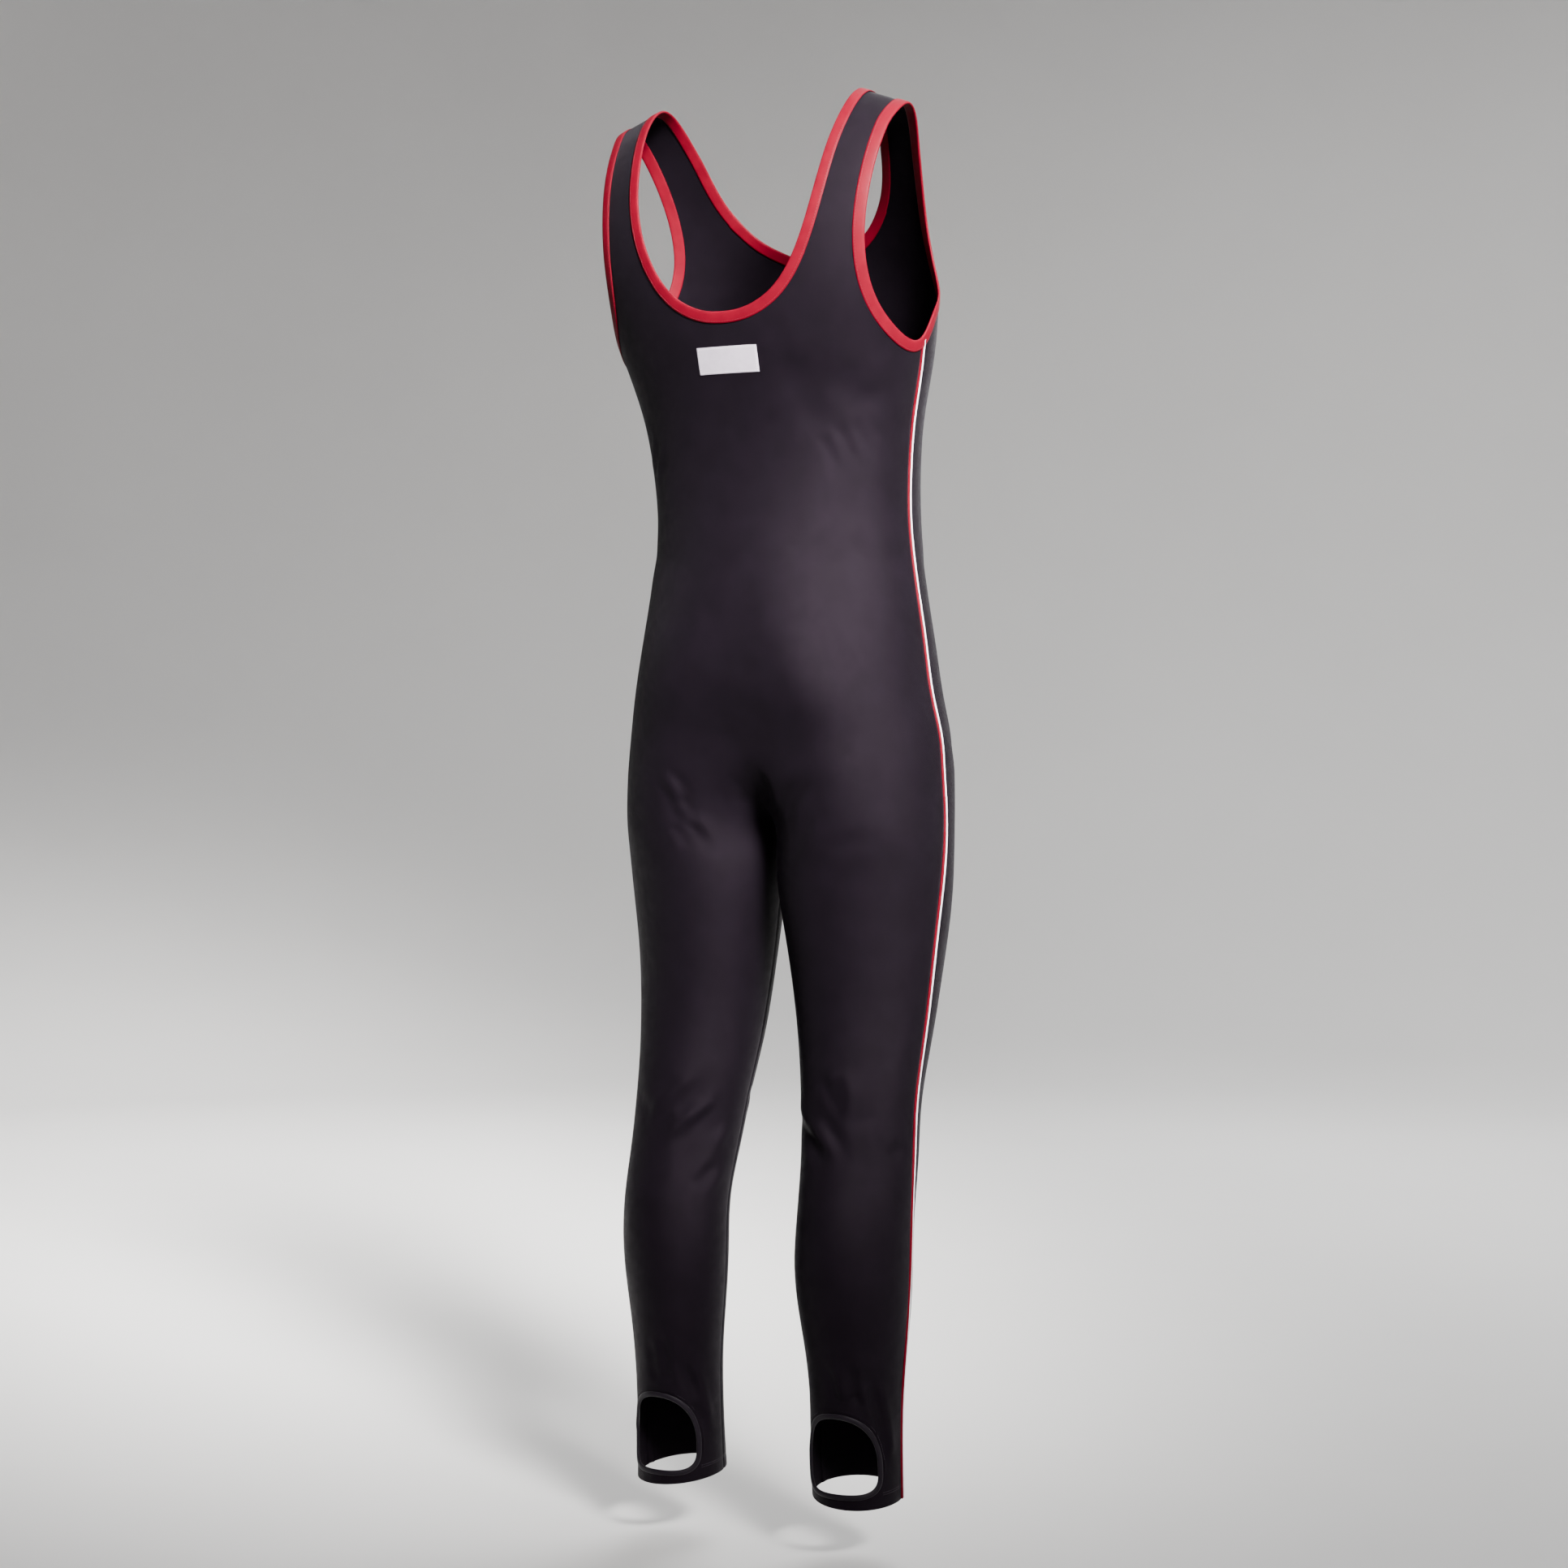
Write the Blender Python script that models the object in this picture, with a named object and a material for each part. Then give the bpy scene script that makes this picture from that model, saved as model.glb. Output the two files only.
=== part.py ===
"""Sleeveless stirrup unitard in stretch knit, standing in its worn, hollow form.

The garment is one back panel and one front panel, each cut whole with both legs, joined
at the shoulders, side seams and inseams.  A binding folds over the neck edge and over
each armhole, a piping and a stripe are let into each side seam, a narrow binding rolls
over each heel opening, and a bare label lies below the back neck.

Metres, +Z up, front towards -Y, wearer's left at +X.  The origin is midway between the
two shoulders, at the height where the wearer holds the garment up.
"""

import math
from bisect import bisect_right
from collections import namedtuple

import bmesh
import bpy
import numpy as np
from mathutils import Vector

# ---------------------------------------------------------------- driving dimensions

SHOULDER_HEIGHT = 1.453     # hem to the highest line of the shoulders
HOLD_HEIGHT = 1.432         # hem to the middle of a strap, which rests on the shoulder
UNDERARM = 1.150            # height where the body starts to arch over to the shoulders
CROTCH = 0.685              # height of the inseam's top
SHOULDER_FALL = 0.37        # slope of the shoulder line
FALL_FROM = 0.085           # half width at which the shoulder line starts to fall
CLIMB_STEP = 0.005          # surface coordinate for each degree of climb to the shoulder

WALL = 0.0010               # knit panel
SEAM_GAP = 0.0003           # clearance between neighbouring pieces
BINDING_WALL = 0.0010       # one layer of folded binding
BINDING_WIDTH = 0.012       # binding at neck and armholes
HEEL_BINDING_WIDTH = 0.0055
STRIPE_WIDTH = 0.0034
STRIPE_RISE = 0.0006        # how far the stripe stands proud of the panels
PIPING_WIDTH = 0.0028
PIPING_RISE = 0.0020        # how far the piping stands proud of the panels
LABEL_WIDTH = 0.069
LABEL_WALL = 0.0010
LABEL_LIFT = 0.0004         # clearance under the label
LABEL_CLIMB = (0.4, 5.4)    # degrees of climb at the label's lower and upper edge

HEEL_CENTRE = 3.0           # degrees from straight back, the middle of the heel opening
HEEL_HALF_ANGLE = 52.5
HEEL_LOW, HEEL_WIDEST, HEEL_HIGH = 0.0125, 0.040, 0.0895
HEEL_ARCH, HEEL_BASE = 2.2, 3.8     # roundness above and below its widest level

FRONT_FILL = 1.5            # how much sooner the front closes above the crotch
FILL_RISE = 0.04
BRIDGE = 0.016              # cloth bridging the hollow at the centre line
BRIDGE_RISE = 0.08
INSEAM_TURN = 10.0          # degrees the inseam moves forward on its way down
INSEAM_TURN_RISE = 0.30
HEM_MIDDLE, HEM_TILT, HEM_TURN = 0.003, 0.0065, 25.0    # the hem dips at the heel

# Horizontal sections of one half.  A leg, and half of the body, is an oval lobe centred
# at (lobe_x, lobe_y).  half_width is from the centre plane to the side, gap from the
# centre plane to the lobe's inner end, negative where both lobes run together.  back and
# front are depths from lobe_y, seam the side seam's angle from straight back, square
# flattens the oval's sides, and skew turns it.
SECTION_COLUMNS = (
    "height", "half_width", "lobe_x", "lobe_y", "gap",
    "back", "front", "seam", "square", "skew")
SECTIONS = (
    (0.000, 0.152, 0.105, -0.013, 0.058, 0.050, 0.048, 101, 0.000, 0.00),   # hem
    (0.050, 0.152, 0.105, -0.010, 0.058, 0.049, 0.047, 103, 0.000, 0.04),
    (0.110, 0.153, 0.106, -0.008, 0.059, 0.050, 0.049, 105, 0.000, 0.07),   # ankle
    (0.170, 0.158, 0.106, -0.005, 0.054, 0.055, 0.054, 106, 0.000, 0.10),
    (0.240, 0.163, 0.106, -0.001, 0.048, 0.061, 0.060, 106, 0.000, 0.10),   # calf
    (0.300, 0.164, 0.106, -0.006, 0.048, 0.061, 0.059, 103, 0.000, 0.08),
    (0.350, 0.163, 0.104, -0.018, 0.044, 0.059, 0.059, 96, 0.000, 0.05),
    (0.405, 0.162, 0.100, -0.029, 0.038, 0.062, 0.062, 92, 0.000, 0.03),    # knee
    (0.460, 0.165, 0.097, -0.041, 0.030, 0.066, 0.067, 90, 0.000, 0.04),
    (0.530, 0.171, 0.096, -0.050, 0.020, 0.073, 0.074, 89, 0.000, 0.10),
    (0.600, 0.178, 0.095, -0.052, 0.010, 0.083, 0.081, 90, 0.000, 0.13),    # thigh
    (0.650, 0.182, 0.094, -0.053, 0.004, 0.091, 0.085, 91, 0.000, 0.10),
    (0.685, 0.183, 0.092, -0.057, 0.000, 0.100, 0.089, 90, 0.000, 0.03),    # crotch
    (0.715, 0.182, 0.089, -0.060, -0.018, 0.106, 0.093, 89, 0.000, 0.00),
    (0.750, 0.180, 0.084, -0.061, -0.070, 0.111, 0.096, 88, 0.000, 0.00),
    (0.780, 0.177, 0.077, -0.062, -0.160, 0.115, 0.098, 88, 0.000, 0.00),
    (0.820, 0.169, 0.063, -0.061, -0.300, 0.125, 0.102, 88, 0.000, 0.00),   # hip
    (0.880, 0.160, 0.038, -0.060, -0.450, 0.128, 0.102, 88, 0.002, 0.00),
    (0.940, 0.151, 0.012, -0.059, -0.500, 0.120, 0.103, 88, 0.008, 0.00),
    (1.000, 0.144, 0.000, -0.058, -0.500, 0.113, 0.103, 88, 0.016, 0.00),   # waist
    (1.060, 0.146, 0.000, -0.053, -0.500, 0.107, 0.098, 88, 0.022, 0.00),
    (1.110, 0.153, 0.000, -0.047, -0.500, 0.108, 0.097, 88, 0.022, 0.00),
    (1.160, 0.166, 0.000, -0.038, -0.500, 0.112, 0.104, 88, 0.022, 0.00),   # underarm
    (1.280, 0.191, 0.000, 0.006, -0.500, 0.099, 0.150, 88, 0.022, 0.00),
    (1.453, 0.196, 0.000, 0.000, -0.500, 0.101, 0.122, 88, 0.022, 0.00),    # shoulder
)

# The neck's edge, from the centre to the shoulder line: step, half width in metres,
# degrees of climb.
NECK_BACK = (
    (0.0, 0.000, 12.0), (0.3, 0.038, 13.5), (0.6, 0.085, 24.0),
    (0.8, 0.107, 46.0), (1.0, 0.116, 90.0))
NECK_FRONT = (
    (0.0, 0.000, 28.0), (0.3, 0.045, 31.0), (0.6, 0.082, 38.0),
    (0.8, 0.104, 53.0), (1.0, 0.116, 90.0))
# The armhole's edge, from the shoulder line down the back and up the front: step, angle
# from straight back, degrees of climb.
ARMHOLE = (
    (-1.0, 57.0, 90.0), (-0.7, 51.5, 49.0), (-0.4, 50.5, 23.0), (-0.18, 61.5, 10.7),
    (0.0, 82.5, 6.7),
    (0.18, 100.0, 13.5), (0.4, 125.5, 24.0), (0.7, 131.5, 60.0), (1.0, 123.0, 90.0))

# ---------------------------------------------------------------- how finely it is cut

COLUMNS = 10                # from the centre line to the side seam
NECK_COLUMNS, STRAP_COLUMNS, ARM_COLUMNS = 3, 3, 4
HEEL_ROWS = 5
HEEL_TOP_ROW = 0.125
LEG_ROWS = 12
FORK_ROWS = 6
FORK_TOP = 0.86
BODY_ROWS = 6
YOKE_ROWS = {"back": 2, "front": 4}
STRAP_ROWS = {"back": 8, "front": 6}
NECK_LEVEL, ARM_LEVEL = (0.8, 0.8), (0.8, 0.45)     # steps from which edges run level
NECK_CORNER = {"back": 0.50, "front": 0.46}     # step where the strap leaves the yoke
ARM_CORNER = {"back": -0.27, "front": 0.26}
STRIP_LENGTHS = 4           # lengths of each side strip
LABEL_COLUMNS, LABEL_ROWS = 3, 1
SMOOTH_ANGLE = 50.0         # degrees, above which an edge is shaded sharp

PROBE = 1e-4                # radians or metres walked to read a direction
CURVE_PROBE = 1e-3          # steps walked along an edge to read its run
HEEL_PROBE = 0.02           # radians round the heel opening
HALVINGS = 40               # when closing in on a crossing
LENGTH_SAMPLES = 200        # when measuring a curve's length

Place = namedtuple("Place", "angle rise")       # radians from straight back, coordinate up
Knot = namedtuple("Knot", "point normal")


# ---------------------------------------------------------------- smooth curves

def spline(xs, ys):
    """Natural cubic spline through the points, held flat beyond its ends."""
    xs = [float(x) for x in xs]
    ys = [float(y) for y in ys]
    last = len(xs) - 1
    steps = [xs[i + 1] - xs[i] for i in range(last)]
    matrix = np.eye(last + 1)
    right = np.zeros(last + 1)
    for i in range(1, last):
        matrix[i, i - 1:i + 2] = steps[i - 1], 2 * (steps[i - 1] + steps[i]), steps[i]
        right[i] = 6 * ((ys[i + 1] - ys[i]) / steps[i] - (ys[i] - ys[i - 1]) / steps[i - 1])
    bends = [float(b) for b in np.linalg.solve(matrix, right)]

    def value(x):
        x = min(max(x, xs[0]), xs[-1])
        i = min(bisect_right(xs, x) - 1, last - 1)
        step, below, above = steps[i], xs[i + 1] - x, x - xs[i]
        curve = (bends[i] * below ** 3 + bends[i + 1] * above ** 3) / (6 * step)
        low = (ys[i] / step - bends[i] * step / 6) * below
        high = (ys[i + 1] / step - bends[i + 1] * step / 6) * above
        return curve + low + high

    return value


def ease(t):
    t = min(max(t, 0.0), 1.0)
    return t * t * (3 - 2 * t)


SECTION = {
    name: spline([row[0] for row in SECTIONS], [row[i] for row in SECTIONS])
    for i, name in enumerate(SECTION_COLUMNS)}


def mirrored_spline(rows, column, sign):
    """Spline over steps -1 to 1 of a table given from 0 to 1."""
    steps = [-row[0] for row in rows[:0:-1]] + [row[0] for row in rows]
    values = [sign * row[column] for row in rows[:0:-1]] + [row[column] for row in rows]
    return spline(steps, values)


# ---------------------------------------------------------------- the garment's surface

def level(rise):
    """Height above the hem, and the climb in radians, at a surface coordinate."""
    if rise <= UNDERARM:
        return rise, 0.0
    climb = math.radians((rise - UNDERARM) / CLIMB_STEP)
    return UNDERARM + (SHOULDER_HEIGHT - UNDERARM) * math.sin(climb), climb


def rise_at(climb_degrees):
    return UNDERARM + CLIMB_STEP * min(climb_degrees, 90.0)


def lobe(height, front):
    """Centre and inner half width of the lobe, wider in front above the crotch."""
    lobe_x = SECTION["lobe_x"](height)
    gap = SECTION["gap"](height)
    if front and height > CROTCH:
        gap *= 1 + FRONT_FILL * ease((height - CROTCH) / FILL_RISE)
    return lobe_x, lobe_x - gap


def inner_angle(height, front):
    """Where a half section starts: on the centre line, or at the inseam below it."""
    if height <= CROTCH:
        turn = 90 + INSEAM_TURN * ease((CROTCH - height) / INSEAM_TURN_RISE)
        return math.radians(360 - turn if front else -turn)
    lobe_x, inner = lobe(height, front)
    cut = math.asin(min(1.0, lobe_x / inner))
    return math.pi + cut if front else -cut


def surface(place):
    """Point of the cloth's outer face at a place on the wearer's left half."""
    height, climb = level(place.rise)
    sine, cosine = math.sin(place.angle), math.cos(place.angle)
    front = cosine < 0
    lobe_x, inner = lobe(height, front)
    lobe_y = SECTION["lobe_y"](height)
    depth = SECTION["front" if front else "back"](height) * math.cos(climb)
    if sine >= 0:
        square = SECTION["square"](height)
        across = (sine + square * math.sin(3 * place.angle)) / (1 - square)
        along = (cosine - square * math.cos(3 * place.angle)) / (1 - square)
        x = lobe_x + (SECTION["half_width"](height) - lobe_x) * across
        y = lobe_y + depth * along
    elif height <= CROTCH:
        x = lobe_x + inner * sine
        y = lobe_y + depth * cosine
    else:
        x = lobe_x + inner * sine
        bridged = math.hypot(x, BRIDGE * ease((height - CROTCH) / BRIDGE_RISE))
        reach = (lobe_x - bridged) / inner
        y = lobe_y + math.copysign(depth, cosine) * math.sqrt(max(0.0, 1 - reach ** 2))
    x -= SECTION["skew"](height) * (y - lobe_y)
    fall = 0.0
    if height > UNDERARM:
        share = (height - UNDERARM) / (SHOULDER_HEIGHT - UNDERARM)
        fall = SHOULDER_FALL * max(0.0, abs(x) - FALL_FROM) * share ** 2
    return Vector((x, y, height - fall - HOLD_HEIGHT))


def directions(place):
    """Surface speed along the angle and along the rise."""
    by_angle = surface(Place(place.angle + PROBE, place.rise))
    by_angle -= surface(Place(place.angle - PROBE, place.rise))
    by_rise = surface(Place(place.angle, place.rise + PROBE))
    by_rise -= surface(Place(place.angle, place.rise - PROBE))
    return by_angle / (2 * PROBE), by_rise / (2 * PROBE)


def knot(place):
    """Point and outward normal."""
    by_angle, by_rise = directions(place)
    return Knot(surface(place), by_rise.cross(by_angle).normalized())


def centre_point(rise, front):
    point = surface(Place(inner_angle(level(rise)[0], front), rise))
    return Vector((0, point.y, point.z))


def centre_knot(rise, front):
    """Point and normal on the centre line, both exactly in the centre plane."""
    run = centre_point(rise + PROBE, front) - centre_point(rise - PROBE, front)
    normal = Vector((0, -run.z, run.y)) if front else Vector((0, run.z, -run.y))
    return Knot(centre_point(rise, front), normal.normalized())


def stepped(place, across, up=0.0):
    """The place reached by walking some metres round and some metres up."""
    by_angle, by_rise = directions(place)
    return Place(place.angle + across / by_angle.length, place.rise + up / by_rise.length)


def angle_at(half_width, rise, front):
    """Angle at which the surface is so far from the centre plane."""
    low, high = 0.0, math.pi / 2
    for _ in range(HALVINGS):
        middle = (low + high) / 2
        if surface(Place(middle, rise)).x < half_width:
            low = middle
        else:
            high = middle
    return math.pi - low if front else low


def seam_place(rise, across):
    """A place beside the side seam, positive towards the front."""
    return stepped(Place(math.radians(SECTION["seam"](level(rise)[0])), rise), across)


# ---------------------------------------------------------------- edges

def levelled(value, back_from, front_from):
    """The same curve of steps -1 to 1, eased to run level into both of its ends."""
    slopes = [(value(end) - value(end * (1 - CURVE_PROBE))) / CURVE_PROBE
              for end in (-1.0, 1.0)]

    def eased(step):
        size = abs(step)
        start = back_from if step < 0 else front_from
        slope = slopes[0] if step < 0 else slopes[1]
        return value(step) + slope * (1 - size) * ease((size - start) / (1 - start))

    return eased


def neck_curve(side):
    rows = NECK_FRONT if side == "front" else NECK_BACK
    width = levelled(mirrored_spline(rows, 1, -1), *NECK_LEVEL)
    climb = mirrored_spline(rows, 2, 1)

    def place(step):
        rise = rise_at(climb(step))
        return Place(angle_at(width(step), rise, side == "front"), rise)

    return place


def arm_curve():
    steps = [row[0] for row in ARMHOLE]
    angle = levelled(spline(steps, [row[1] for row in ARMHOLE]), *ARM_LEVEL)
    climb = spline(steps, [row[2] for row in ARMHOLE])
    return lambda step: Place(math.radians(angle(step)), rise_at(climb(step)))


def heel_place(turn, out=0.0):
    """A place on the heel opening's edge, or so many metres out into the cloth."""
    sine, cosine = math.sin(turn), math.cos(turn)
    power = HEEL_ARCH if sine > 0 else HEEL_BASE
    height = HEEL_HIGH - HEEL_WIDEST if sine > 0 else HEEL_WIDEST - HEEL_LOW
    size = (abs(cosine) ** power + abs(sine) ** power) ** (1 / power)
    angle = math.radians(HEEL_CENTRE + HEEL_HALF_ANGLE * cosine / size)
    edge = Place(angle, HEEL_WIDEST + height * sine / size)
    if not out:
        return edge
    before, after = heel_place(turn - HEEL_PROBE), heel_place(turn + HEEL_PROBE)
    return step_aside(before, edge, after, out)


def step_aside(before, place, after, distance):
    """Walk square to the line before-after, to its left as seen from outside."""
    by_angle, by_rise = directions(place)
    run = surface(after) - surface(before)
    side = by_rise.cross(by_angle).normalized().cross(run).normalized() * distance
    basis = np.array([list(by_angle), list(by_rise)]).T
    turn, lift = np.linalg.lstsq(basis, np.array(side), rcond=None)[0]
    return Place(place.angle + float(turn), place.rise + float(lift))


def spread(curve, start, end, count):
    """Steps from start to end of a curve that cut it into equal lengths."""
    fine = [start + (end - start) * i / LENGTH_SAMPLES for i in range(LENGTH_SAMPLES + 1)]
    points = [surface(curve(step)) for step in fine]
    lengths = [0.0]
    for first, second in zip(points, points[1:]):
        lengths.append(lengths[-1] + (second - first).length)
    wanted = [lengths[-1] * i / count for i in range(count + 1)]
    return [float(step) for step in np.interp(wanted, lengths, fine)]


def arm_step_at_seam(across):
    """The step at which the armhole's edge meets a line beside the side seam."""
    curve = arm_curve()
    low, high = ARM_CORNER["back"], ARM_CORNER["front"]
    for _ in range(HALVINGS):
        middle = (low + high) / 2
        place = curve(middle)
        if place.angle < seam_place(place.rise, across).angle:
            low = middle
        else:
            high = middle
    return low


def edge_stations(curve, steps, side):
    """For each step, the cloth's edge inside the fold and the line where binding ends.

    side is 1 where the cloth lies on the left of the curve, and -1 on its right.
    """
    stations = []
    for step in steps:
        before, place = curve(step - CURVE_PROBE), curve(step)
        after = curve(step + CURVE_PROBE)
        stations.append((
            step_aside(before, place, after, side * FOLD),
            step_aside(before, place, after, side * BINDING_WIDTH)))
    return stations


FOLD = SEAM_GAP + BINDING_WALL                          # cloth's edge to fold's outside
SEAM_BACK = -(SEAM_GAP / 2 + STRIPE_WIDTH + SEAM_GAP)   # the panels' side edges
SEAM_FRONT = SEAM_GAP / 2 + PIPING_WIDTH + SEAM_GAP


def neck_stations(side):
    """From the centre line to the shoulder line."""
    curve = neck_curve(side)
    corner = NECK_CORNER[side]
    steps = spread(curve, 0.0, corner, NECK_COLUMNS)
    steps += spread(curve, corner, 1.0, STRAP_ROWS[side])[1:]
    stations = edge_stations(curve, steps, -1 if side == "front" else 1)
    centre = math.pi if side == "front" else 0.0
    stations[0] = tuple(Place(centre, place.rise) for place in stations[0])
    stations[-1] = shoulder_station(curve(1.0).angle, side, 1)
    return stations


def arm_stations(side):
    """From the side seam to the shoulder line."""
    curve = arm_curve()
    beside = SEAM_FRONT if side == "front" else SEAM_BACK
    start, corner = arm_step_at_seam(beside), ARM_CORNER[side]
    steps = spread(curve, start, corner, ARM_COLUMNS)
    steps += spread(curve, corner, 1.0 if side == "front" else -1.0, STRAP_ROWS[side])[1:]
    stations = edge_stations(curve, steps, 1)
    stations[0] = tuple(seam_place(place.rise, beside) for place in stations[0])
    stations[-1] = shoulder_station(curve(-1.0).angle, side, -1)
    return stations


def shoulder_station(angle, side, outward):
    """Where a binding crosses the shoulder seam, half a gap short of the shoulder line."""
    angle = min(angle, math.pi - angle)
    station = []
    for distance in (FOLD, BINDING_WIDTH):
        place = stepped(Place(angle, rise_at(90.0)), outward * distance, -SEAM_GAP / 2)
        if side == "front":
            place = Place(math.pi - place.angle, place.rise)
        station.append(place)
    return tuple(station)


# ---------------------------------------------------------------- sheets and solids

class Sheet:
    """Points on the surface with their normals, and the faces between them."""

    def __init__(self):
        self.knots = []
        self.faces = []

    def add(self, new_knot):
        self.knots.append(new_knot)
        return len(self.knots) - 1

    def add_places(self, places):
        return [self.add(knot(place)) for place in places]

    def strip(self, low, high):
        """Triangles between two rows of points, each cut from low[i] to high[i + 1]."""
        for i in range(len(low) - 1):
            self.faces.append((low[i], low[i + 1], high[i + 1]))
            self.faces.append((low[i], high[i + 1], high[i]))

    def grid(self, rows):
        for low, high in zip(rows, rows[1:]):
            self.strip(low, high)

    def mirrored(self):
        """Both halves, sharing the points of the centre plane."""
        whole = Sheet()
        whole.knots = list(self.knots)
        partner = []
        for index, (point, normal) in enumerate(self.knots):
            if point.x == 0.0:
                partner.append(index)
                continue
            flip = Vector((-1, 1, 1))
            partner.append(whole.add(Knot(point * flip, normal * flip)))
        whole.faces = list(self.faces)
        whole.faces += [tuple(partner[i] for i in face[::-1]) for face in self.faces]
        return whole


def solid(name, vertices, faces, material):
    """One closed mesh object with its faces pointing out."""
    mesh = bpy.data.meshes.new(name)
    mesh.from_pydata([tuple(v) for v in vertices], [], faces)
    work = bmesh.new()
    work.from_mesh(mesh)
    bmesh.ops.recalc_face_normals(work, faces=work.faces)
    work.to_mesh(mesh)
    work.free()
    mesh.materials.append(material)
    mesh.shade_smooth()
    mesh.set_sharp_from_angle(angle=math.radians(SMOOTH_ANGLE))
    made = bpy.data.objects.new(name, mesh)
    bpy.context.scene.collection.objects.link(made)
    return made


def wall(name, sheet, outside, inside, material):
    """A solid between two faces parallel to the sheet, at these lifts along its normals."""
    count = len(sheet.knots)
    vertices = [k.point + k.normal * outside for k in sheet.knots]
    vertices += [k.point + k.normal * inside for k in sheet.knots]
    faces = list(sheet.faces)
    faces += [tuple(i + count for i in face[::-1]) for face in sheet.faces]
    edges = {}
    for face in sheet.faces:
        for first, second in zip(face, face[1:] + face[:1]):
            edges[(first, second)] = True
    for first, second in edges:
        if (second, first) not in edges:
            faces.append((second, first, first + count))
            faces.append((second, first + count, second + count))
    return solid(name, vertices, faces, material)


# ---------------------------------------------------------------- the two panels

def row_heights():
    """Heights of the rows from the hem to the underarm."""
    heights = [HEEL_TOP_ROW * i / HEEL_ROWS for i in range(HEEL_ROWS + 1)]
    heights += [
        HEEL_TOP_ROW + (CROTCH - HEEL_TOP_ROW) * i / LEG_ROWS
        for i in range(1, LEG_ROWS + 1)]
    heights += [
        CROTCH + (FORK_TOP - CROTCH) * (i / FORK_ROWS) ** 1.6
        for i in range(1, FORK_ROWS + 1)]
    heights += [
        FORK_TOP + (UNDERARM - FORK_TOP) * i / BODY_ROWS
        for i in range(1, BODY_ROWS + 1)]
    return heights


def hem_shift(angle, height):
    """How far a row is moved up by the hem's tilt, fading out above the heel."""
    tilt = HEM_MIDDLE - HEM_TILT * math.cos(angle - math.radians(HEM_TURN))
    return tilt * max(0.0, 1 - height / HEEL_TOP_ROW)


def row_places(height, side):
    """Places of one row, from the centre line or inseam to the side seam."""
    front = side == "front"
    start = Place(inner_angle(height, front), height)
    if height <= CROTCH:
        start = stepped(start, -SEAM_GAP / 2 if front else SEAM_GAP / 2)
    end = seam_place(height, SEAM_FRONT if front else SEAM_BACK)
    angles = [
        start.angle + (end.angle - start.angle) * j / COLUMNS
        for j in range(COLUMNS + 1)]
    return [Place(angle, height + hem_shift(angle, height)) for angle in angles]


def between(first, second, count):
    """Places from one to the other in equal steps, both ends left out."""
    return [
        Place(*(a + (b - a) * i / count for a, b in zip(first, second)))
        for i in range(1, count)]


def add_row(sheet, height, side, skipped=()):
    """One row of points; the crotch's own point lies exactly in the centre plane."""
    row = []
    for j, place in enumerate(row_places(height, side)):
        if j in skipped:
            row.append(None)
        elif j == 0 and height > CROTCH:
            row.append(sheet.add(centre_knot(height, side == "front")))
        elif j == 0 and height == CROTCH:
            point = surface(place)
            point.x = 0.0
            row.append(sheet.add(Knot(point, Vector((0, 0, -1)))))
        else:
            row.append(sheet.add(knot(place)))
    return row


def heel_turn(place):
    """Direction from the heel opening's middle to a place, in the opening's own scale."""
    across = (math.degrees(place.angle) - HEEL_CENTRE) / HEEL_HALF_ANGLE
    up = place.rise - HEEL_WIDEST
    up /= HEEL_HIGH - HEEL_WIDEST if up > 0 else HEEL_WIDEST - HEEL_LOW
    return math.atan2(up, across)


def heel_loop(heights):
    """Row and column of each point round the heel opening, and the direction it lies in."""
    first, last, top = 1, COLUMNS - 1, HEEL_ROWS
    loop = [(0, j) for j in range(first, last)]
    loop += [(i, last) for i in range(0, top)]
    loop += [(top, j) for j in range(last, first, -1)]
    loop += [(i, first) for i in range(top, 0, -1)]
    places = [row_places(heights[i], "back")[j] for i, j in loop]
    return loop, [heel_turn(place) for place in places]


def heel_rings(turns):
    """The heel opening's cloth edge inside its fold, and the line where binding ends."""
    edge = [heel_place(turn, FOLD) for turn in turns]
    ring = [heel_place(turn, HEEL_BINDING_WIDTH) for turn in turns]
    return edge, ring


def add_heel(sheet, rows, heights):
    """The cloth round the heel opening, from the opening's edge to the rows about it."""
    loop, turns = heel_loop(heights)
    edge, ring = heel_rings(turns)
    outer = [rows[i][j] for i, j in loop]
    ring_row, edge_row = sheet.add_places(ring), sheet.add_places(edge)
    sheet.strip(outer + outer[:1], ring_row + ring_row[:1])
    sheet.strip(ring_row + ring_row[:1], edge_row + edge_row[:1])


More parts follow.
